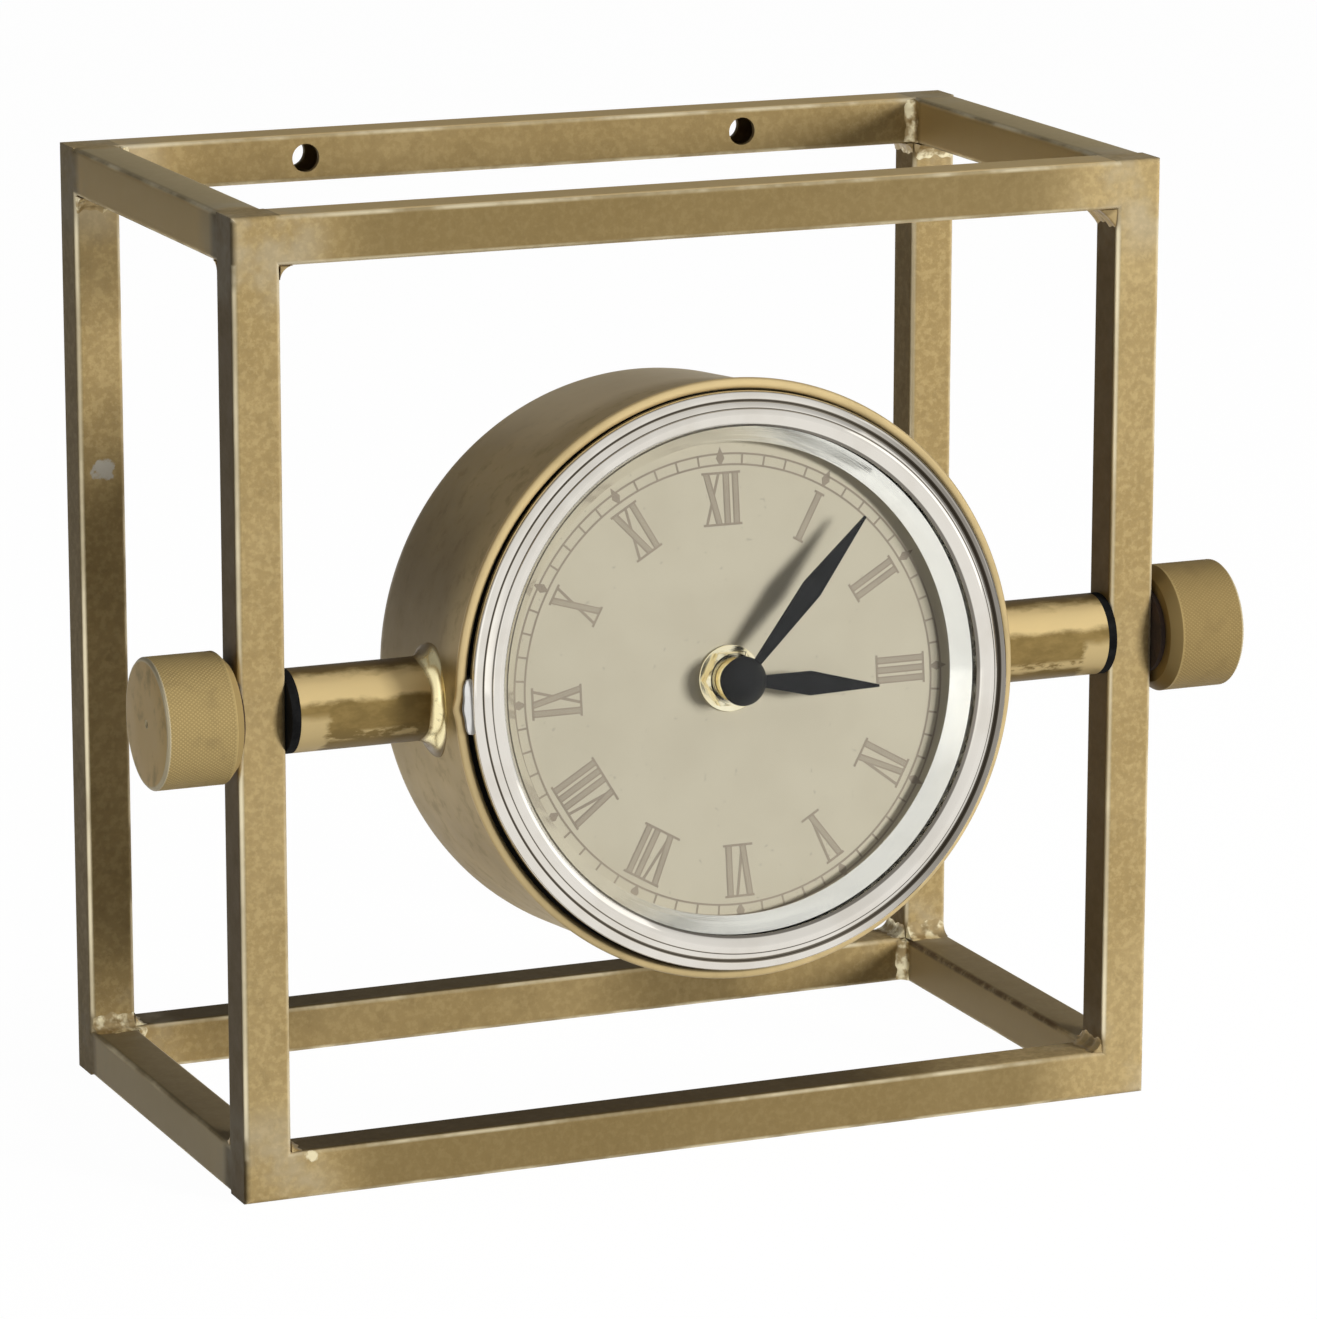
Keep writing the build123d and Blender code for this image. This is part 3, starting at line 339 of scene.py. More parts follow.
knob("knob_left_knurled", -1, "left_knob", "knob_left")
knob("knob_right_knurled", 1, "right_knob", "knob_right")

# %% [markdown]
# On the real frame the rails run smoothly into the front and rear rectangles, because the welder filled the joints
# and ground them flush. So the rails are drawn again as rounded square bars that reach into the rectangles and fill
# the hollows that the tubes' rounded edges leave there.

# %% rails
HALF_TUBE, TUBE_ROUND, FLUSH = 5.0, 1.2, 0.01
RAIL_X, RAIL_FROM, RAIL_TO, TOP_RAIL, LOW_RAIL = 96.0, 2.0, 96.0, 195.0, 5.0


def rail(name, side, rail_z):
    """Rounded square swept along y: four quarter circles joined by straight sides, closed to a point at both ends."""
    middle = HALF_TUBE - FLUSH - TUBE_ROUND
    outline = np.concatenate([
        arc((sx * middle, sz * middle), TUBE_ROUND, start, start + 90, 7)
        for sx, sz, start in ((1, 1, 0), (-1, 1, 90), (-1, -1, 180), (1, -1, 270))])
    along = np.concatenate([[RAIL_FROM], np.linspace(RAIL_FROM, RAIL_TO, 12), [RAIL_TO]])
    share = np.ones(len(along))
    share[[0, -1]] = 0.0
    points = np.stack(np.broadcast_arrays(
        side * RAIL_X + share[:, None] * outline[:, 0], along[:, None], rail_z + share[:, None] * outline[:, 1]), -1)
    piece(name + "_flush", points, grid_faces(len(along), len(outline), False, True), "frame",
          "antique_brass_frame", [name])


for level_name, rail_z in (("top", TOP_RAIL), ("bottom", LOW_RAIL)):
    for side_name, side in (("left", -1), ("right", 1)):
        rail(f"{level_name}_rail_{side_name}", side, rail_z)

# %% [markdown]
# Welds are never as even as a drawing. In the frame's inner corners each bead is a hollow fillet whose leg swells
# and shrinks along its run; the one at the front's top right corner is larger and nearly flat. All twenty-four are
# worked out in one go as arrays: a corner, the direction of the run and the two walls that the bead climbs.

# %% frame weld beads
REAR_Y, INNER_X = 98.0, RAIL_X - HALF_TUBE
FILLET_HALF_RUN, FILLET_LEGS, FILLET_STEPS, FILLET_ACROSS = 4.9, (2.5, 3.3, 2.2), 25, 9
HOLLOW, FLAT_HOLLOW, FLAT_GAIN = 0.9, 0.25, 1.45
corner_rows = []
for level_sign, level in ((1, TOP_RAIL), (-1, LOW_RAIL)):
    for side in (-1, 1):
        for tube_y, rail_sign in ((0.0, 1), (REAR_Y, -1)):
            inner_y, inner_z = tube_y + HALF_TUBE * rail_sign, level - HALF_TUBE * level_sign
            inwards, away, along_rail = (-side, 0, 0), (0, 0, -level_sign), (0, rail_sign, 0)
            corner_rows += [((side * INNER_X, tube_y, inner_z), (0, 1, 0), inwards, away),
                            ((side * RAIL_X, inner_y, inner_z), (1, 0, 0), along_rail, away),
                            ((side * INNER_X, inner_y, level), (0, 0, 1), inwards, along_rail)]
corner_rows = np.array(corner_rows, float)
FLAT_BEAD = np.argmax((corner_rows[:, 0] == (INNER_X, 0.0, TOP_RAIL - HALF_TUBE)).all(1))


def weld_beads(name, body):
    """Hollow fillets: first wall times a(t) plus second wall times b(t), scaled along the run by a swelling leg."""
    count, steps, across = len(corner_rows), FILLET_STEPS, FILLET_ACROSS
    run = np.linspace(-1, 1, steps)[None, :, None]
    bead = np.arange(count)[:, None, None]
    swell = 1 + 0.10 * np.sin(5.1 * run + 1.7 * bead) + 0.07 * np.sin(11.3 * run + 2.9 * bead)
    swell = swell * np.where(bead == FLAT_BEAD, FLAT_GAIN, 1.0)
    leg = np.array(FILLET_LEGS)[bead % 3] * swell * np.sqrt(np.clip(1 - np.abs(run) ** 30, 0, 1))
    bow = np.radians(np.linspace(0, 90, across))[None, None, :]
    hollow, share = np.where(bead == FLAT_BEAD, FLAT_HOLLOW, HOLLOW), bow / (np.pi / 2)
    wall_one = leg * (1 - hollow * np.sin(bow) - (1 - hollow) * share)
    wall_two = leg * (1 - hollow * np.cos(bow) - (1 - hollow) * (1 - share))
    zero = np.zeros((count, steps, 1))
    wall_one, wall_two = np.concatenate([wall_one, zero], 2), np.concatenate([wall_two, zero], 2)
    corner, along, first, second = (corner_rows[:, i][:, None, None, :] for i in range(4))
    points = corner + FILLET_HALF_RUN * run[..., None] * along
    points = points + wall_one[..., None] * first + wall_two[..., None] * second
    faces = grid_faces(steps, across + 1, False, True)
    faces = (faces[None] + (np.arange(count) * steps * (across + 1))[:, None, None]).reshape(-1, 4)
    piece(name, points, faces, body, "weld_brass", ["frame_welds"], 60.0)


weld_beads("frame_weld_beads", "frame")

# %% [markdown]
# Where each stub meets the drum, the weld was ground and polished to a flare. It follows both round surfaces: near
# the drum it lies on the drum's wall, near the stub on the stub's, and in between it rises as a hollow quarter bow.

# %% stub flares
STUB_RADIUS, FLARE_LEG, FLARE_OVAL, FLARE_WAVE, FLARE_SUNK = 8.5, 2.9, 0.6, 0.2, -0.3


def stub_flare(side):
    """Flare round the stub: radius 8.5 plus leg (1 - sin t), height above the drum wall leg (1 - cos t)."""
    turn = np.linspace(0, 2 * np.pi, 96, endpoint=False)[:, None]
    bow = np.radians(np.linspace(0, 90, 14))[None, :]
    leg = FLARE_LEG + FLARE_OVAL * np.cos(2 * turn) + FLARE_WAVE * np.sin(5 * turn + side)
    sunk = np.full_like(turn, FLARE_SUNK)
    out = np.concatenate([leg * (1 - np.sin(bow)), sunk, sunk, leg], 1)
    rise = np.concatenate([leg * (1 - np.cos(bow)), leg, sunk, sunk], 1)
    up, forward = (STUB_RADIUS + out) * np.cos(turn), (STUB_RADIUS + out) * np.sin(turn)
    wall = np.sqrt(DRUM_RADIUS ** 2 - up ** 2)
    return on_drum(side * (wall + rise), up, forward)


flare_points = np.stack([stub_flare(side) for side in (-1, 1)])
flare_faces = grid_faces(*flare_points.shape[1:3], True, True)
flare_faces = np.concatenate([flare_faces, flare_faces + flare_points[0].size // 3])
piece("stub_flares", flare_points, flare_faces, "drum", "weld_brass", ["stub_welds"], 60.0)

# %% [markdown]
# Under the hands a brass washer and a hexagon nut hold the movement to the dial. A real nut is turned before its
# flats are milled, which leaves a round bevel on top. The same lathe does it: its radius is the smaller of the turned
# profile and the distance to the nearest flat.

# %% washer and nut
WASHER_RADIUS, WASHER_UNDER, WASHER_TOP, WASHER_EDGE = 6.8, DIAL_FRONT + 0.05, 15.8, 0.2
NUT_TOP, NUT_BORE, NUT_FLATS, NUT_CORNER = 18.0, 4.02, 10.6, 6.12
washer_profile = through(
    [(NUT_BORE, WASHER_UNDER), (WASHER_RADIUS - WASHER_EDGE / 2, WASHER_UNDER)],
    arc((WASHER_RADIUS - WASHER_EDGE, WASHER_TOP - WASHER_EDGE), WASHER_EDGE, 0, 90, 6), [(NUT_BORE, WASHER_TOP)])
lathe("washer_bright", washer_profile, 128, "insert", "plain_brass", ["dial_washer"], closed=True)


def six_flats(angle, radius, distance):
    """Radius kept within six flats: half the width across flats over the cosine of the angle from the nearest."""
    from_flat = (angle + np.pi / 6) % (np.pi / 3) - np.pi / 6
    return np.minimum(radius, NUT_FLATS / 2 / np.cos(from_flat)), distance


nut_profile = through(
    [(NUT_BORE, WASHER_TOP), (5.5, WASHER_TOP), (NUT_CORNER, WASHER_TOP + 0.35), (NUT_CORNER, NUT_TOP - 0.45)],
    [(5.25, NUT_TOP), (NUT_BORE + 0.45, NUT_TOP), (NUT_BORE, NUT_TOP - 0.4)])
lathe("nut_bright", nut_profile, 180, "insert", "plain_brass", ["dial_nut"], 25.0, True, six_flats)

# %% [markdown]
# The dial is printed with plain Roman numerals that stand with their feet to the centre, inside a railway minute
# track. Each letter is a handful of straight strokes: thick stems, thin hairlines and flat serifs. A stroke is four
# corners, so the whole print is one array of quads, as thick as a coat of ink. The stems are paler inside, so a
# second, narrower coat lies on top of them. Crossing strokes lie a hair's breadth above each other, so that no two
# faces share a plane. The print sits a little low on the disc.

# %% dial print
INK_LIFT, INK_STEP, FILL_LIFT = 0.02, 0.002, 0.05
PRINT_SHIFT = (0.2, -1.5)
NUMERAL_FOOT, NUMERAL_HEAD = 32.3, 43.2
STEM, HAIR, SERIF, FILL_MARGIN = 1.45, 0.6, 0.5, 0.3
I_WIDE, V_WIDE, X_WIDE, STEM_IN, HAIR_IN, SERIF_OVER = 2.0, 4.1, 4.1, 0.75, 0.5, 0.2
MARK_IN, MARK_MIDDLE, MARK_OUT, MARK_HALF = 44.3, 45.9, 48.2, 0.95
TRACK_IN, TRACK_OUT, TRACK_LINE = 44.6, 46.8, 0.42
SERIF_SHARE = SERIF / (NUMERAL_HEAD - NUMERAL_FOOT)


def slanted(x0, x1, width, ends=0.0):
    """Stroke from the numeral's foot at x0 to its head at x1, as wide as width, stopping short of both ends."""
    half = width / 2
    return [(x0 - half, ends), (x0 + half, ends), (x1 + half, 1 - ends), (x1 - half, 1 - ends)]


def letter(kind, x):
    """Stems and hairlines of one letter that starts at x, as (foot, head) places, and the letter's width."""
    if kind == "I":
        return [(x + I_WIDE / 2, x + I_WIDE / 2)], [], I_WIDE
    if kind == "V":
        return [(x + V_WIDE / 2, x + STEM_IN)], [(x + V_WIDE / 2, x + V_WIDE - HAIR_IN)], V_WIDE
    return [(x + X_WIDE - STEM_IN, x + STEM_IN)], [(x + HAIR_IN, x + X_WIDE - HAIR_IN)], X_WIDE


def numeral(text):
    """Outline strokes and pale fills of a numeral, centred, with serif bars along its head and foot."""
    stems, hairs, x = [], [], 0.0
    for kind in text:
        more_stems, more_hairs, width = letter(kind, x)
        stems, hairs, x = stems + more_stems, hairs + more_hairs, x + width
    strokes = [slanted(*stem, STEM) for stem in stems] + [slanted(*hair, HAIR) for hair in hairs]
    left, right = -SERIF_OVER, x + SERIF_OVER
    strokes += [[(left, low), (right, low), (right, low + SERIF_SHARE), (left, low + SERIF_SHARE)]
                for low in (0.0, 1 - SERIF_SHARE)]
    fills = [slanted(*stem, STEM - 2 * FILL_MARGIN, SERIF_SHARE) for stem in stems]
    return [np.array(part) - [x / 2, 0] for part in (strokes, fills)]


def turned(strokes, clock_angle):
    """Strokes turned clockwise by a clock angle about the dial's centre."""
    c, s = np.cos(np.radians(clock_angle)), np.sin(np.radians(clock_angle))
    return np.stack([strokes[..., 0] * c + strokes[..., 1] * s, strokes[..., 1] * c - strokes[..., 0] * s], -1)


def printed_quads(name, quads, lift):
    """Each four-cornered stroke as a thin block on the dial: its corners at the dial and again at its own lift."""
    quads = np.concatenate(quads) + PRINT_SHIFT
    height = lift + INK_STEP * (np.arange(len(quads)) % 9)[:, None]
    ink = np.stack([on_drum(quads[..., 0], quads[..., 1], DIAL_FRONT + share * height) for share in (1.0, 0.1)], 1)
    block = np.array([(0, 1, 2, 3), (4, 7, 6, 5), (0, 4, 5, 1), (1, 5, 6, 2), (2, 6, 7, 3), (3, 7, 4, 0)])
    faces = (block[None] + 8 * np.arange(len(quads))[:, None, None]).reshape(-1, 4)
    piece(name, ink, faces, "insert", "printed_dial")


print_quads, fill_quads = [], []
marker = np.array([[(0, MARK_IN), (MARK_HALF, MARK_MIDDLE), (0, MARK_OUT), (-MARK_HALF, MARK_MIDDLE)]])
for hour, text in enumerate(["XII", "I", "II", "III", "IV", "V", "VI", "VII", "VIII", "IX", "X", "XI"]):
    strokes, fills = numeral(text)
    for part, quads in ((strokes, print_quads), (fills, fill_quads)):
        part[..., 1] = NUMERAL_FOOT + part[..., 1] * (NUMERAL_HEAD - NUMERAL_FOOT)
        quads.append(turned(part, 30 * hour))
    print_quads.append(turned(marker, 30 * hour))
half_line = TRACK_LINE / 2
tick = np.array([[(-half_line, TRACK_IN), (half_line, TRACK_IN), (half_line, TRACK_OUT), (-half_line, TRACK_OUT)]])
print_quads += [turned(tick, 6 * minute) for minute in range(60) if minute % 5]
ring_angle = np.radians(np.linspace(0, 360, 241))
for ring in (TRACK_IN, TRACK_OUT):
    inner, outer = (np.stack([r * np.sin(ring_angle), r * np.cos(ring_angle)], 1)
                    for r in (ring - half_line, ring + half_line))
    print_quads.append(np.stack([inner[:-1], inner[1:], outer[1:], outer[:-1]], 1))
printed_quads("dial_print", print_quads, INK_LIFT)
printed_quads("dial_print_fill", fill_quads, FILL_LIFT)

# %% [markdown]
# Shader maths reads best as sums and products, so one small class wraps a socket and adds the Math nodes that an
# expression asks for. A second holds a node tree and adds any other node, and a third is the finish itself: one
# material with a Principled shader.

# %% shader maths
PIVOT_HEIGHT = 0.1
SOCKETS = {"colour": "Base Color", "specular": "Specular IOR Level"}
finishes = {}


def operation(kind, swapped=False):
    """A method that adds one Math node, with its two values swapped for the reflected forms."""
    def method(self, other=0.0):
        first, second = (other, self) if swapped else (self, other)
        return self.owner.node("Math", {"operation": kind}, {0: first, 1: second})
    return method


class Value:
    """A shader value. Arithmetic on it adds Math nodes to the tree it belongs to."""

    def __init__(self, owner, socket):
        self.owner, self.socket = owner, socket

    __add__, __radd__ = operation("ADD"), operation("ADD", True)
    __sub__, __rsub__ = operation("SUBTRACT"), operation("SUBTRACT", True)
    __mul__, __rmul__ = operation("MULTIPLY"), operation("MULTIPLY", True)
    __abs__, root = operation("ABSOLUTE"), operation("SQRT")
    least, most = operation("MINIMUM"), operation("MAXIMUM")

    def step(self, low, high):
        """Smooth step: 0 at low and before it, 1 at high and past it."""
        return self.owner.node("MapRange", {"interpolation_type": "SMOOTHSTEP"}, {
            "Value": self, "From Min": low, "From Max": high})

    def nearest(self, first, second):
        """Distance to the nearer of two places."""
        return abs(self - first).least(abs(self - second))


class Shading:
    """The nodes of one tree."""

    def __init__(self, tree):
        self.tree = tree

    def feed(self, node, socket, value):
        if isinstance(value, Value):
            self.tree.links.new(value.socket, node.inputs[socket])
        else:
            wide = isinstance(value, tuple) and node.inputs[socket].type == "RGBA" and len(value) == 3
            node.inputs[socket].default_value = (*value, 1.0) if wide else value

    def node(self, kind, settings=None, inputs=None, output=0):
        """Add a node of this kind, set its settings, then feed its sockets with values or links."""
        made = self.tree.nodes.new("ShaderNode" + kind)
        for name, value in (settings or {}).items():
            setattr(made, name, value)
        for socket, value in (inputs or {}).items():
            self.feed(made, socket, value)
        return Value(self, made.outputs[output])

    def place(self):
        return self.node("TexCoord", output="Object")

    def parts(self, vector):
        split = self.node("SeparateXYZ", inputs={0: vector}).socket.node
        return [Value(self, socket) for socket in split.outputs]

    def mapped(self, scale=(1, 1, 1), turn=(0, 0, 0)):
        return self.node("Mapping", inputs={"Vector": self.place(), "Scale": scale, "Rotation": turn})

    def noise(self, scale, detail, roughness, vector=None):
        return self.node("TexNoise", inputs={
            "Vector": vector or self.place(), "Scale": scale, "Detail": detail, "Roughness": roughness})

    def blend(self, share, first, second):
        return self.node("Mix", {"data_type": "RGBA"}, {0: share, 6: first, 7: second}, output=2)


class Finish(Shading):
    """One material: coats of colour over each other, constants on the Principled sockets, and nodes for the rest."""

    def __init__(self, name, colour=(1.0, 1.0, 1.0), **constants):
        self.material = bpy.data.materials.new(name)
        self.material.use_nodes = True
        super().__init__(self.material.node_tree)
        self.shader, self.colour = self.tree.nodes["Principled BSDF"], colour
        self.wear(**constants)
        finishes[name] = self
        print("finish:", name)

    def coat(self, share, colour):
        self.colour = self.blend(share, self.colour, colour)

    def wear(self, **sockets):
        """Feed the Principled sockets, with the colour as it has become."""
        for socket, value in {"colour": self.colour, **sockets}.items():
            self.feed(self.shader, SOCKETS.get(socket, socket.title()), value)

    def bump(self, height, strength, distance):
        self.feed(self.shader, "Normal", self.node("Bump", inputs={
            "Height": height, "Strength": strength, "Distance": distance}))

    def show(self, share, first, second):
        """Show a mix of two shaders instead of the Principled one alone."""
        mixed = self.node("MixShader", inputs={0: share, 1: first, 2: second})
        self.tree.links.new(mixed.socket, self.tree.nodes["Material Output"].inputs["Surface"])


def drum_place(finish):
    """Object coordinates turned into the drum's own x, up and forward directions, in metres from the pivot."""
    x, y, z = finish.parts(finish.mapped(turn=(TILT, 0, 0)))
    shift = Matrix.Rotation(TILT, 3, "X") @ Vector((0, 0, PIVOT_HEIGHT))
    return x, z - shift.z, (y - shift.y) * -1.0


print("shader helpers ready")

# %% [markdown]
# The frame is steel tube plated in antique brass and rubbed back: golden brown, cloudy and sponged from the patina,
# rubbed to bare metal at the edges, blotchy where the welds were dressed, and darker along the bars. Light and shade
# are painted on as well: painted light on the sides of the rails and on the tops of the top rails and bars, painted
# shade on the tops of the bottom rails and, nearly black, on the sides of the posts, most at the front, a painted
# shadow on top of the bottom bars, and a painted glint along the posts' left front edges. All tubes lie square to the
# axes, so the distance from a tube's middle planes tells how near a point is to an edge, and the length of those three
# distances how near it is to a welded corner. Two bare spots finish it: a silvery one on the rear left post and a drop
# of bright brass on the front bottom bar. Pairs of metres say where a step runs.

# %% antique brass of the frame
FRAME_PALE, FRAME_MID, FRAME_DARK = (0.54, 0.40, 0.188), (0.44, 0.315, 0.135), (0.31, 0.22, 0.096)
EDGE_GOLD, RUST, BAR_DARK = (0.95, 0.84, 0.58), (0.11, 0.05, 0.024), (0.20, 0.14, 0.054)
GRAIN_LIGHT, SILVERED, BAR_TOP_PAINTED_LIGHT = (0.70, 0.54, 0.27), (0.56, 0.50, 0.37), (0.78, 0.57, 0.26)
RAIL_SIDE_PAINTED_LIGHT, LOW_RAIL_SIDE_PAINTED_LIGHT, POST_SIDE_PAINTED_SHADE = (1.0, 0.74, 0.34), (1.0, 0.82, 0.50), (0.17, 0.115, 0.046)
RAIL_TOP_PAINTED_LIGHT, LOW_RAIL_TOP_PAINTED_SHADE, LOW_BAR_PAINTED_SHADOW = (0.58, 0.47, 0.26), (0.25, 0.195, 0.11), (0.06, 0.043, 0.02)
POSTS_AT, RECTANGLES_AT, LEVELS_AT, RAIL_MIDDLE = 0.096, (0.0, 0.098), (0.005, 0.195), 0.049
LEFT_EDGES, FRONT_EDGES, RUSTY_EDGE = (-0.101, 0.091), (-0.005, 0.093), (0.0912, 0.0096)
FACE_FROM, FACE_TO = (0.00465, 0.00492), (0.005006, 0.005003)
ALONG_BAR, AT_FRONT, AT_REAR, ON_RAIL = (0.088, 0.070), (0.02, 0.006), (0.06, 0.09), (0.044, 0.040)
OUTSIDE, OFF_BARS, BETWEEN_POSTS = (0.099, 0.100), (0.0048, 0.0052), (0.0909, 0.0905)
LOW_DOWN, TOP_OF_BAR, SHADE_ENDS = (0.05, 0.03), (0.0075, 0.0092), (0.075, 0.03)
EDGE, GLINT, GLINT_ENDS = (0.0039, 0.0046), (0.0011, 0.0004), (0.006, 0.010)
CORNER, RUST_LINE, RUST_FROM = (0.018 ** 2, 0.008 ** 2), (0.0013, 0.0004), (0.012, 0.02)
BARE_SPOTS = (((-0.0958, 0.093, 0.132), 0.0026, (0.62, 0.60, 0.53)),
              ((-0.0872, -0.005, 0.0091), 0.0016, (1.0, 0.90, 0.60)))

brass = Finish("antique brass frame", FRAME_MID, specular=0.04)
x, y, z = brass.parts(brass.place())
from_x = abs(abs(x) - POSTS_AT)
from_y, from_z = y.nearest(*RECTANGLES_AT), z.nearest(*LEVELS_AT)
cloud = brass.noise(14.0, 5.0, 0.6)
patch = brass.noise(55.0, 4.0, 0.6)
mottle = brass.noise(210.0, 5.0, 0.66)
sponge = brass.noise(620.0, 3.0, 0.6)
grain = brass.noise(1900.0, 3.0, 0.65)
brass.coat(cloud.step(0.36, 0.64), FRAME_PALE)
brass.coat((mottle * 0.6 + grain * 0.4).step(0.46, 0.68) * 0.6, FRAME_DARK)
brass.coat(grain.step(0.45, 0.70) * 0.25, GRAIN_LIGHT)
brass.coat(sponge.step(0.40, 0.62) * 0.22, FRAME_DARK)
brass.coat(sponge.step(0.52, 0.36) * 0.22, GRAIN_LIGHT)
side, flat = (gap.step(*FACE_FROM) * gap.step(*FACE_TO) for gap in (from_x, from_z))
brass.coat(abs(x).step(*ALONG_BAR) * (0.42 + 0.26 * y.step(*AT_FRONT)) * (1.0 - flat), BAR_DARK)
on_rail = abs(y - RAIL_MIDDLE).step(*ON_RAIL)
off_rail = 1.0 - on_rail
side = side * on_rail.most(abs(x).step(*OUTSIDE)).most(from_z.step(*OFF_BARS))
flat = flat * on_rail.most(abs(x).step(*BETWEEN_POSTS))
low = z.step(*LOW_DOWN)
# painted light: the sides of the rails are lightened
brass.coat(side * on_rail * 0.92, brass.blend(low, RAIL_SIDE_PAINTED_LIGHT, LOW_RAIL_SIDE_PAINTED_LIGHT))
# painted shade: the sides of the posts darkened, most at the front
brass.coat(side * off_rail * (0.8 - 0.6 * y.step(*AT_REAR)), POST_SIDE_PAINTED_SHADE)
# painted light on the tops of the top rails, painted shade on those of the bottom rails
brass.coat(flat * on_rail * 0.75, brass.blend(low, RAIL_TOP_PAINTED_LIGHT, LOW_RAIL_TOP_PAINTED_SHADE))
# painted light on the top faces of the top bars
brass.coat(flat * off_rail * (1.0 - low) * 0.8, BAR_TOP_PAINTED_LIGHT)
# painted shadow on top of the bottom bars
in_shade = flat * low * off_rail * z.step(*TOP_OF_BAR) * x.step(*SHADE_ENDS)
brass.coat(in_shade * 0.85, LOW_BAR_PAINTED_SHADOW)
edge = from_x.least(from_y).least(from_z).step(*EDGE)
rubbed_and_glint = edge * (0.25 + 0.75 * patch.step(0.42, 0.62)) * (1.0 - in_shade)
# painted highlight: a glint along the posts' left front edges, added to the rubbed edges
off_edge = x.nearest(*LEFT_EDGES).most(y.nearest(*FRONT_EDGES))
glint = off_edge.step(*GLINT) * (0.6 + 0.4 * cloud.step(0.40, 0.56))
glint = glint * from_z.step(*GLINT_ENDS)
rubbed_and_glint = rubbed_and_glint.most(glint * 1.4)
brass.coat(rubbed_and_glint * 0.75, EDGE_GOLD)
corner = (from_x * from_x + from_y * from_y + from_z * from_z).step(*CORNER)
brass.coat(corner * patch.step(0.40, 0.60) * 0.4, SILVERED)
rusty = (abs(x - RUSTY_EDGE[0]) + abs(z - RUSTY_EDGE[1])).step(*RUST_LINE) * y.step(*RUST_FROM)
brass.coat(rusty * mottle.step(0.3, 0.55) * 0.7, RUST)
for spot, size, tone in BARE_SPOTS:
    off_x, off_y, off_z = x - spot[0], (y - spot[1]) * 2.0, z - spot[2]
    near = off_x * off_x + off_y * off_y + off_z * off_z + (mottle - 0.5) * (5.0 * size * size)
    brass.coat(near.step(1.1 * size * size, 0.5 * size * size) * 0.85, tone)
brass.wear(metallic=0.1 + 0.5 * rubbed_and_glint, roughness=0.36 + 0.2 * mottle + 0.06 * grain - 0.15 * glint)
brass.bump(grain * 0.5 + mottle * 0.5, 0.1, 0.0004)

# %% [markdown]
# The drum has the same plating, left darker and greener, with the faint rings of the spinning and a rim rubbed
# bright. The rings depend only on the distance along the drum's axis. Painted shade darkens the upper left, and a
# painted sheen lightens the top.

# %% antique brass of the drum
DRUM_MID, DRUM_PALE, DRUM_DARK = (0.47, 0.355, 0.17), (0.57, 0.435, 0.21), (0.34, 0.25, 0.115)
DRUM_SHADE, DRUM_TOP_PAINTED_SHEEN, RIM_GOLD = (0.16, 0.115, 0.052), (0.90, 0.76, 0.50), (0.80, 0.62, 0.32)

brass = Finish("antique brass drum", DRUM_MID, metallic=0.6, specular=0.1)
x, up, forward = drum_place(brass)
cloud = brass.noise(30.0, 4.0, 0.6)
mottle = brass.noise(230.0, 4.0, 0.62)
rings = brass.noise(900.0, 2.0, 0.6, brass.node("CombineXYZ", inputs={0: forward}))
brass.coat(cloud.step(0.36, 0.66), DRUM_PALE)
brass.coat(mottle.step(0.52, 0.7) * 0.5, DRUM_DARK)
# painted shade at the upper left
brass.coat(x.step(-0.040, -0.057) * up.step(-0.004, 0.010) * forward.step(0.017, 0.002) * 0.7, DRUM_SHADE)
# painted sheen along the top
brass.coat(up.step(0.045, 0.057) * forward.step(0.012, 0.0) * 0.8, DRUM_TOP_PAINTED_SHEEN)
rim = forward.step(0.0172, 0.0192) * (0.5 + 0.5 * cloud.step(0.36, 0.6))
brass.coat(rim * 0.85, RIM_GOLD)
brass.wear(roughness=0.34 + 0.2 * mottle)
brass.bump(rings * 0.5 + mottle * 0.5, 0.1, 0.0003)

# %% [markdown]
# The welds at the rear corners carry a painted highlight: pale brass, broken by dark pores. Those at the front were
# dressed and toned with the tubes. The flares at the stubs are polished, with a painted highlight half way up.

# %% weld brass
WELD_PAINTED_HIGHLIGHT, WELD_PORE = (1.0, 0.90, 0.60), (0.42, 0.31, 0.15)
FLARE_PAINTED_HIGHLIGHT, FLARE_BROWN = (0.98, 0.86, 0.50), (0.40, 0.29, 0.125)

weld = Finish("weld brass", FRAME_DARK, metallic=0.7, specular=0.4)
mottle = weld.noise(260.0, 3.0, 0.6)
weld.coat(mottle.step(0.36, 0.62), FRAME_PALE)
# painted highlight on the welds at the rear corners: pale brass broken by dark pores
painted_highlight = weld.blend(mottle.step(0.47, 0.64), WELD_PORE, WELD_PAINTED_HIGHLIGHT)
weld.coat(weld.parts(weld.place())[1].step(0.03, 0.06), painted_highlight)
weld.wear(roughness=0.2 + 0.3 * mottle)
weld.bump(mottle, 0.25, 0.0006)

flare = Finish("polished flare", FLARE_BROWN, specular=0.05)
_, up, forward = drum_place(flare)
out = (up * up + forward * forward).root()
mottle = flare.noise(300.0, 4.0, 0.6)
bow = out.step(0.0084, 0.0087) * out.step(0.0112, 0.0102)
# painted highlight: a pale band half way up the flare
painted_highlight = bow * forward.step(0.0005, 0.0045) * mottle.step(0.2, 0.45)
flare.coat(painted_highlight, FLARE_PAINTED_HIGHLIGHT)
flare.wear(metallic=0.3 + 0.7 * painted_highlight, roughness=0.16 + 0.16 * mottle)
flare.bump(mottle, 0.1, 0.0004)

# %% [markdown]
# The stubs are brown, with a gold patch low at their outer ends, and carry painted light: a painted highlight in a
# band along the upper side and as a glint low down, and painted shade underneath and along the very top. The knobs
# are solid brass, aged in the knurl and rubbed on the crests, with a painted highlight on the rim of the end face,
# a pale centre dot, and painted shade on the right knob.

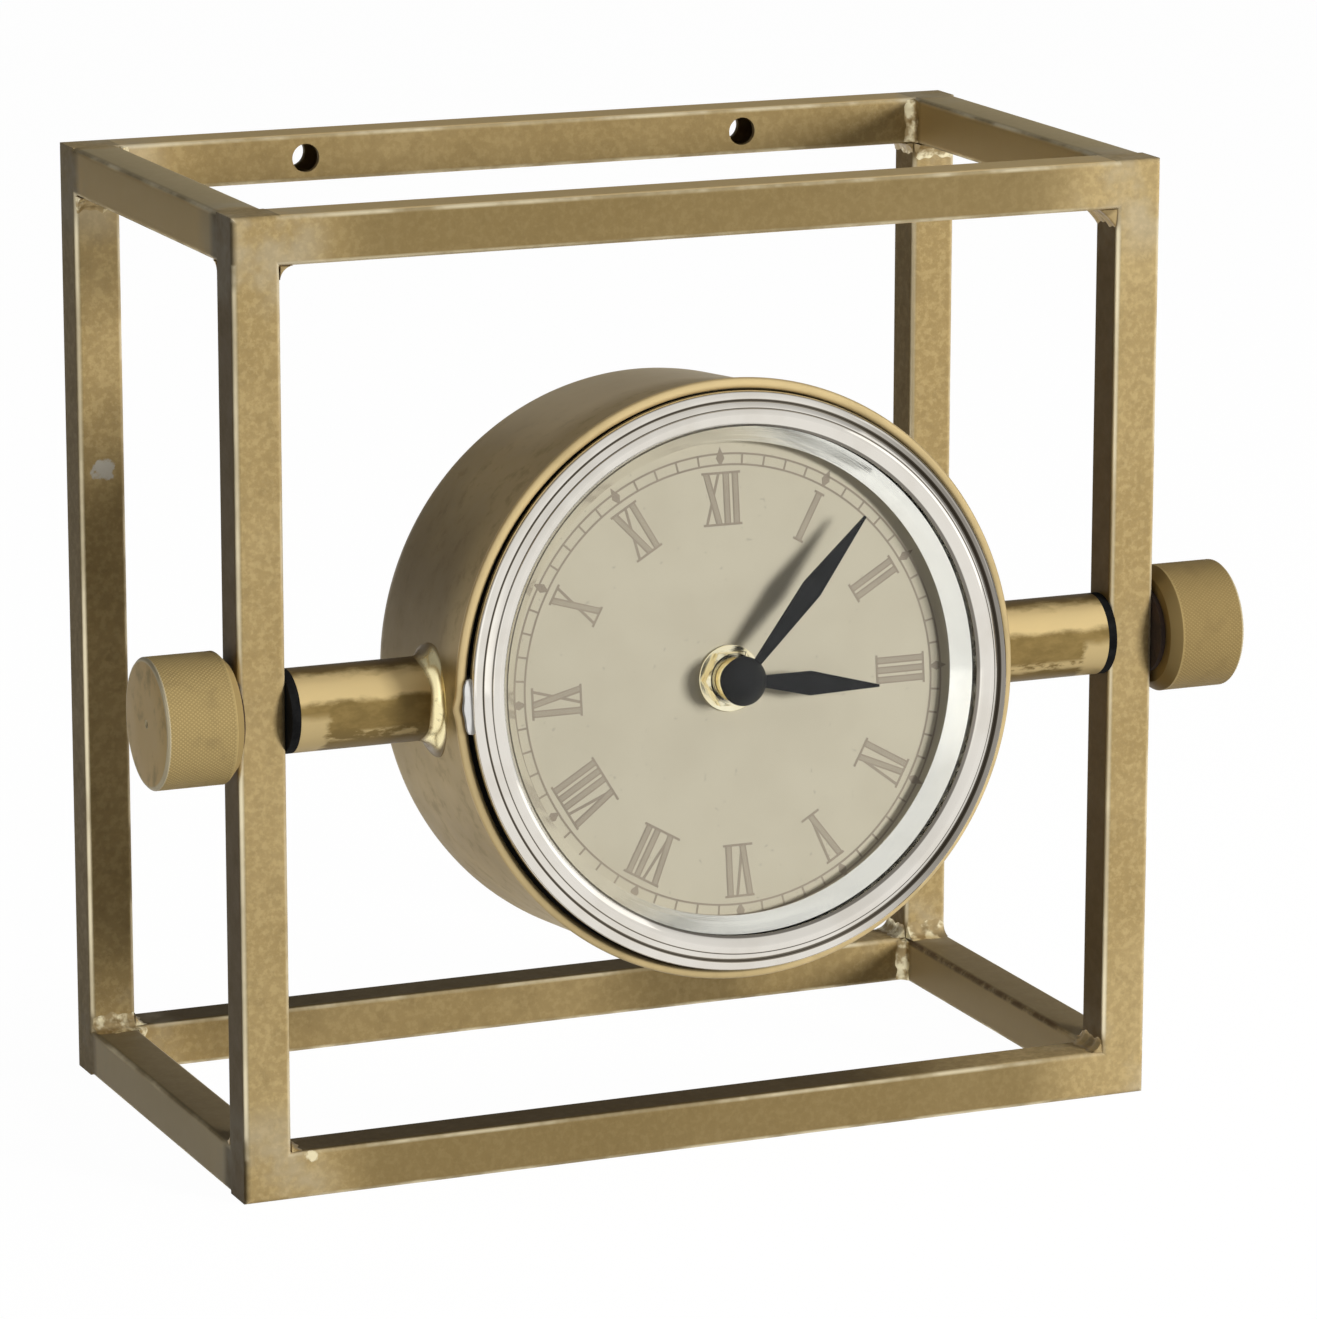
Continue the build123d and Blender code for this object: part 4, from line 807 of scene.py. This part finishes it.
# %% stub and knob brass
STUB_BROWN, STUB_TAN, STUB_LIT = (0.23, 0.158, 0.055), (0.31, 0.215, 0.077), (0.85, 0.65, 0.32)
STUB_UNDER_PAINTED_SHADE, STUB_GOLD, STUB_TOP_PAINTED_SHADE = (0.20, 0.14, 0.052), (0.70, 0.54, 0.27), (0.12, 0.08, 0.035)
KNURL_GROOVE, KNURL_CREST, KNOB_FACE = (0.39, 0.283, 0.118), (0.57, 0.425, 0.183), (0.84, 0.60, 0.25)
KNOB_DARK, KNOB_PAINTED_SHADE = (0.30, 0.22, 0.10), (0.22, 0.145, 0.05)

stub = Finish("buffed stub", STUB_BROWN, metallic=0.35, specular=0.05)
x, _, z = stub.parts(stub.place())
mottle = stub.noise(330.0, 4.0, 0.62, stub.mapped((0.5, 1.0, 1.0)))
up = z - PIVOT_HEIGHT + 0.0025 * (mottle - 0.5)
along = abs(x) + 0.006 * (mottle - 0.5)
stub.coat(mottle.step(0.36, 0.66), STUB_TAN)
# painted highlight: a lit band along the upper side
stub.coat(abs(up - 0.0052).step(0.0030, 0.0016) * 0.8, STUB_LIT)
# painted shade underneath
stub.coat(up.step(-0.0020, -0.0060) * 0.6, STUB_UNDER_PAINTED_SHADE)
# a gold patch low at the outer end, and a painted highlight as a glint low down
gold_end = along.step(0.0828, 0.0842) * up.step(0.0014, -0.0010)
low_glint = abs(up + 0.0042).step(0.0014, 0.0004) * mottle.step(0.44, 0.56)
stub.coat(gold_end.most(low_glint) * 0.75, STUB_GOLD)
# painted shade along the very top
stub.coat(up.step(0.0076, 0.0084) * 0.7, STUB_TOP_PAINTED_SHADE)
stub.wear(roughness=0.3 + 0.24 * mottle)
stub.bump(mottle, 0.08, 0.0004)

brass = Finish("knurled brass", KNURL_GROOVE, metallic=0.2, specular=0.04)
x, y, z = brass.parts(brass.place())
up = z - PIVOT_HEIGHT
radius = (y * y + up * up).root()
cloud = brass.noise(160.0, 4.0, 0.6)
on_face = abs(x).step(0.1181, 0.1184)
brass.coat(radius.step(0.01319, 0.01330), KNURL_CREST)
brass.coat(on_face, KNOB_FACE)
brass.coat(cloud.step(0.5, 0.72) * 0.45, KNOB_DARK)
# a pale centre dot, and a painted highlight on the rim of the end face
bright_spot = radius.step(0.0010, 0.0007) * on_face
painted_rim_highlight = abs(x).step(0.1177, 0.1180) * radius.step(0.0122, 0.0127)
brass.coat(bright_spot.most(painted_rim_highlight) * 0.8, EDGE_GOLD)
# painted shade: the right knob darkened
brass.coat(x.step(-0.01, 0.01) * 0.45, KNOB_PAINTED_SHADE)
brass.wear(roughness=0.32 + 0.22 * cloud)
brass.bump(cloud, 0.1, 0.0003)

# %% [markdown]
# Chrome and the polished reflector ring are nearly perfect mirrors. What makes them read as turned metal are the
# fine concentric tool lines, a function of the distance from the drum's axis, a little haze, dark lines at the groove
# and the fine line, a painted shadow at the lip, and painted shade on the right of the shoulder.

# %% bright metals
DARK_LINE_AND_SHADE = (0.10, 0.085, 0.065)
# dark lines at the groove and the fine line, and a painted shadow at the lip
CHROME_DARK_LINES = ((0.0565, 0.00025), (0.0549, 0.00013), (0.05145, 0.00042))


def turned_metal(name, colour, hazy, roughness, line_scale, line_depth, dark_lines=()):
    """Mirror metal with concentric lines of noise along the distance from the drum's axis, dark lines and painted
    shade.
    """
    metal = Finish(name, colour, metallic=1.0)
    x, up, forward = drum_place(metal)
    radius = (x * x + up * up).root()
    line_vector = metal.node("CombineXYZ", inputs={0: radius, 1: forward * 0.6})
    lines = metal.noise(line_scale, 2.0, 0.5, line_vector)
    haze = metal.noise(90.0, 3.0, 0.6)
    metal.coat(haze.step(0.4, 0.7), hazy)
    for line, half_width in dark_lines:
        metal.coat(abs(radius - line).step(half_width, 0.5 * half_width) * 0.85, DARK_LINE_AND_SHADE)
    # painted shade on the right of the shoulder
    if dark_lines:
        metal.coat(radius.step(0.0545, 0.0565) * x.step(0.015, 0.045) * 0.75, DARK_LINE_AND_SHADE)
    metal.wear(roughness=roughness + 0.05 * haze)
    metal.bump(lines, line_depth, 0.0002)


for name, settings in {
    "chrome plate": ((0.76, 0.725, 0.66), (0.71, 0.67, 0.60), 0.07, 2600.0, 0.08, CHROME_DARK_LINES),
    "polished steel": ((0.98, 0.96, 0.91), (0.92, 0.90, 0.85), 0.1, 2200.0, 0.12),
    "plain brass": ((0.94, 0.86, 0.64), (0.85, 0.74, 0.48), 0.12, 5200.0, 0.12),
    "zinc steel": ((0.62, 0.63, 0.64), (0.5, 0.51, 0.52), 0.28, 1800.0, 0.2),
    "motor steel": ((0.55, 0.55, 0.56), (0.44, 0.44, 0.45), 0.34, 2400.0, 0.2),
}.items():
    turned_metal(name, *settings)

# %% [markdown]
# The glass is clear and thin, so light goes straight through it and only a little is mirrored, more at a slant. A
# mix of a transparent and a glossy shader by Fresnel says just that, and lets lamps reach the dial. Its mirror is
# weakened, as on coated glass, so that the hands stay black.

# %% glass
COATING = 0.22
glass = Finish("clear glass")
clear = glass.node("BsdfTransparent", inputs={"Color": (0.985, 0.99, 0.985)})
gloss = glass.node("BsdfGlossy", inputs={"Color": (1.0, 1.0, 1.0), "Roughness": 0.02})
glass.show(glass.node("Fresnel", inputs={"IOR": 1.4}) * COATING, clear, gloss)
glass.tree.nodes.remove(glass.shader)

# %% [markdown]
# The dial is a metal disc sprayed cream, with the faintest orange peel and a few specks. The numerals are a thin
# grey-brown ink, worn unevenly, and get two finishes of the same kind: one for the strokes and one for their fill.

# %% dial and ink
FLECK = (0.30, 0.26, 0.21)


def printed(name, colour, cloudy, specks):
    """Sprayed paint: a cloudy base, sparse specks and fine orange peel."""
    paint = Finish(name, colour, roughness=0.5, specular=0.3)
    cloud = paint.noise(60.0, 3.0, 0.6)
    fleck = paint.noise(900.0, 2.0, 0.5)
    paint.coat(cloud.step(0.35, 0.7), cloudy)
    paint.coat(fleck.step(0.68, 0.74) * specks, FLECK)
    paint.wear()
    paint.bump(paint.noise(2500.0, 2.0, 0.5), 0.06, 0.0002)


printed("cream dial", (0.60, 0.543, 0.423), (0.57, 0.513, 0.397), 0.3)
printed("numeral ink", (0.335, 0.28, 0.22), (0.385, 0.325, 0.255), 0.2)
printed("numeral fill", (0.40, 0.343, 0.268), (0.44, 0.38, 0.295), 0.2)

# %% [markdown]
# The rest are quiet finishes: satin black hands, rubber, fibre, soft PVC and moulded plastics. Each still has its
# own tooth and mottling, from one small function. The insert's white gasket carries painted shade in black and grey,
# apart from its own white at nine o'clock.

# %% paints, rubbers and plastics
GASKET_PAINTED_SHADE, GASKET_PAINTED_SHADE_GREY, GASKET_WHITE = (0.012, 0.011, 0.010), (0.03, 0.028, 0.025), (0.80, 0.78, 0.74)


def moulded(name, colour, other, roughness, scale, tooth, metallic=0.0, specular=0.4):
    """Cloudy colour and a fine tooth, both by noise of one scale and its multiples."""
    stuff = Finish(name, colour, metallic=metallic, specular=specular)
    cloud = stuff.noise(scale, 3.0, 0.6)
    fine = stuff.noise(scale * 9.0, 2.0, 0.6)
    stuff.coat(cloud.step(0.35, 0.68), other)
    stuff.wear(roughness=roughness - 0.06 + 0.14 * cloud)
    stuff.bump(fine, tooth, 0.0003)


# painted shade: the white gasket is coloured black and grey
soft = Finish("grimy gasket", GASKET_PAINTED_SHADE, roughness=0.6, specular=0.2)
x, up, _ = drum_place(soft)
cloud = soft.noise(260.0, 3.0, 0.6)
off_middle = abs(up + 0.0002 + 0.004 * (cloud - 0.5))
soft.coat(cloud, GASKET_PAINTED_SHADE_GREY)
# the gasket's own white at nine o'clock
soft.coat(x.step(-0.0555, -0.0562) * off_middle.step(0.0062, 0.0054), GASKET_WHITE)
soft.wear()
soft.bump(cloud, 0.15, 0.0003)

for name, settings in {
    "hand black": ((0.006, 0.006, 0.0065), (0.013, 0.013, 0.014), 0.36, 240.0, 0.1, 0.0, 0.2),
    "black rubber": ((0.006, 0.006, 0.006), (0.014, 0.014, 0.014), 0.85, 300.0, 0.3, 0.0, 0.1),
    "fibre": ((0.055, 0.032, 0.022), (0.035, 0.022, 0.016), 0.7, 320.0, 0.3),
    "white pvc": ((0.95, 0.94, 0.91), (0.88, 0.87, 0.84), 0.42, 220.0, 0.1),
    "black plastic": ((0.018, 0.018, 0.019), (0.032, 0.032, 0.034), 0.5, 300.0, 0.25),
    "white acetal": ((0.82, 0.81, 0.78), (0.74, 0.73, 0.70), 0.35, 400.0, 0.1),
    "copper wire": ((0.62, 0.25, 0.11), (0.48, 0.18, 0.08), 0.3, 500.0, 0.3, 0.8),
    "board green": ((0.02, 0.12, 0.05), (0.03, 0.16, 0.07), 0.4, 300.0, 0.15),
    "chip black": ((0.01, 0.01, 0.011), (0.02, 0.02, 0.022), 0.55, 700.0, 0.2),
    "battery can": ((0.12, 0.12, 0.13), (0.17, 0.17, 0.18), 0.32, 120.0, 0.05, 0.6),
}.items():
    moulded(name, *settings)

# %% [markdown]
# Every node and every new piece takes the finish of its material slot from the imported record. The gasket, the print,
# the stubs and their flares have a finish of their own within their slot.

# %% hand out the finishes
own_finish = {"gasket": "grimy gasket", "dial_print": "numeral ink", "dial_print_fill": "numeral fill",
              "stub_flares": "polished flare", "stub_left": "buffed stub", "stub_right": "buffed stub"}
finishes["printed dial"] = finishes["cream dial"]
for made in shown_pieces():
    chosen = finishes[own_finish.get(made.name, slot_of[made.name].replace("_", " "))]
    made.data.materials.clear()
    made.data.materials.append(chosen.material)

# %% [markdown]
# The studio is a wide pale floor under soft light. A low softbox in front, a little to the right, throws the shadow
# of the hands up the dial; a broad one overhead lights the top faces; the world fills the rest, with a white card at
# the left that only mirrors show. The floor shows white to the camera and to mirrors, and keeps a soft shadow.

# %% studio
FLOOR_HALF, FLOOR_GLOW, FLOOR_WHITE = 12.0, 1.09, 0.9
ROOM_BACK, ROOM_GAIN, ROOM_TOP, CARD, FILL_LIGHT = 0.32, 0.68, 0.12, 0.35, 0.04


def softbox(name, place, aim, width, height, watts, mirrored=False):
    """Rectangular lamp at a place, turned to its aim, shown by mirrors only if asked."""
    data = bpy.data.lights.new(name, "AREA")
    data.shape, data.size, data.size_y, data.energy = "RECTANGLE", width, height, watts
    lamp = add(name, data)
    lamp.location = place
    lamp.rotation_euler = (Vector(aim) - Vector(place)).to_track_quat("-Z", "Y").to_euler()
    lamp.visible_glossy = mirrored


softbox("front softbox", (1.45, -2.15, 0.56), (0, 0, 0.1), 0.62, 0.56, 66.0)
softbox("top softbox", (0.6, -0.45, 1.4), (0, 0.05, 0.1), 1.1, 1.1, 4.5)
softbox("right softbox", (1.5, -0.3, 0.7), (0, 0, 0.1), 0.8, 1.0, 1.5, True)


def rays(shading):
    """Whether a ray comes straight from the camera, from a mirror or through glass."""
    return [shading.node("LightPath", output=f"Is {kind} Ray")
            for kind in ("Camera", "Glossy", "Transmission")]


floor_mesh = bpy.data.meshes.new("floor")
floor_mesh.from_pydata(
    [(sx * FLOOR_HALF, sy * FLOOR_HALF, 0.0) for sx, sy in ((-1, -1), (1, -1), (1, 1), (-1, 1))], [], [(0, 1, 2, 3)])
floor = add("floor", floor_mesh)
pale = Finish("pale floor", (0.42, 0.41, 0.39), roughness=0.9, specular=0.1)
seen, mirrored, through_glass = rays(pale)
glow = pale.node("Emission", inputs={"Color": (1.0, 1.0, 1.0), "Strength": FLOOR_GLOW})
pale.show(seen.most(mirrored).most(through_glass) * FLOOR_WHITE, Value(pale, pale.shader.outputs[0]), glow)
floor_mesh.materials.append(pale.material)

world = bpy.data.worlds.new("studio")
bpy.context.scene.world = world
world.use_nodes = True
sky = Shading(world.node_tree)
seen, mirrored, through_glass = rays(sky)
sky_x, sky_y, sky_z = sky.parts(sky.node("TexCoord", output="Generated"))
room = (ROOM_BACK + ROOM_GAIN * sky_y.step(0.35, -0.25)) * (1.0 - ROOM_TOP * sky_z.step(0.1, 0.8))
room = room + CARD * sky_x.step(-0.72, -0.92) * sky_y.step(0.1, -0.2)
background = sky.tree.nodes["Background"]
sky.feed(background, "Strength", seen.most(through_glass).most(mirrored * room).most(FILL_LIGHT))
sky.feed(background, "Color", (1.0, 1.0, 1.0))
print("studio ready")
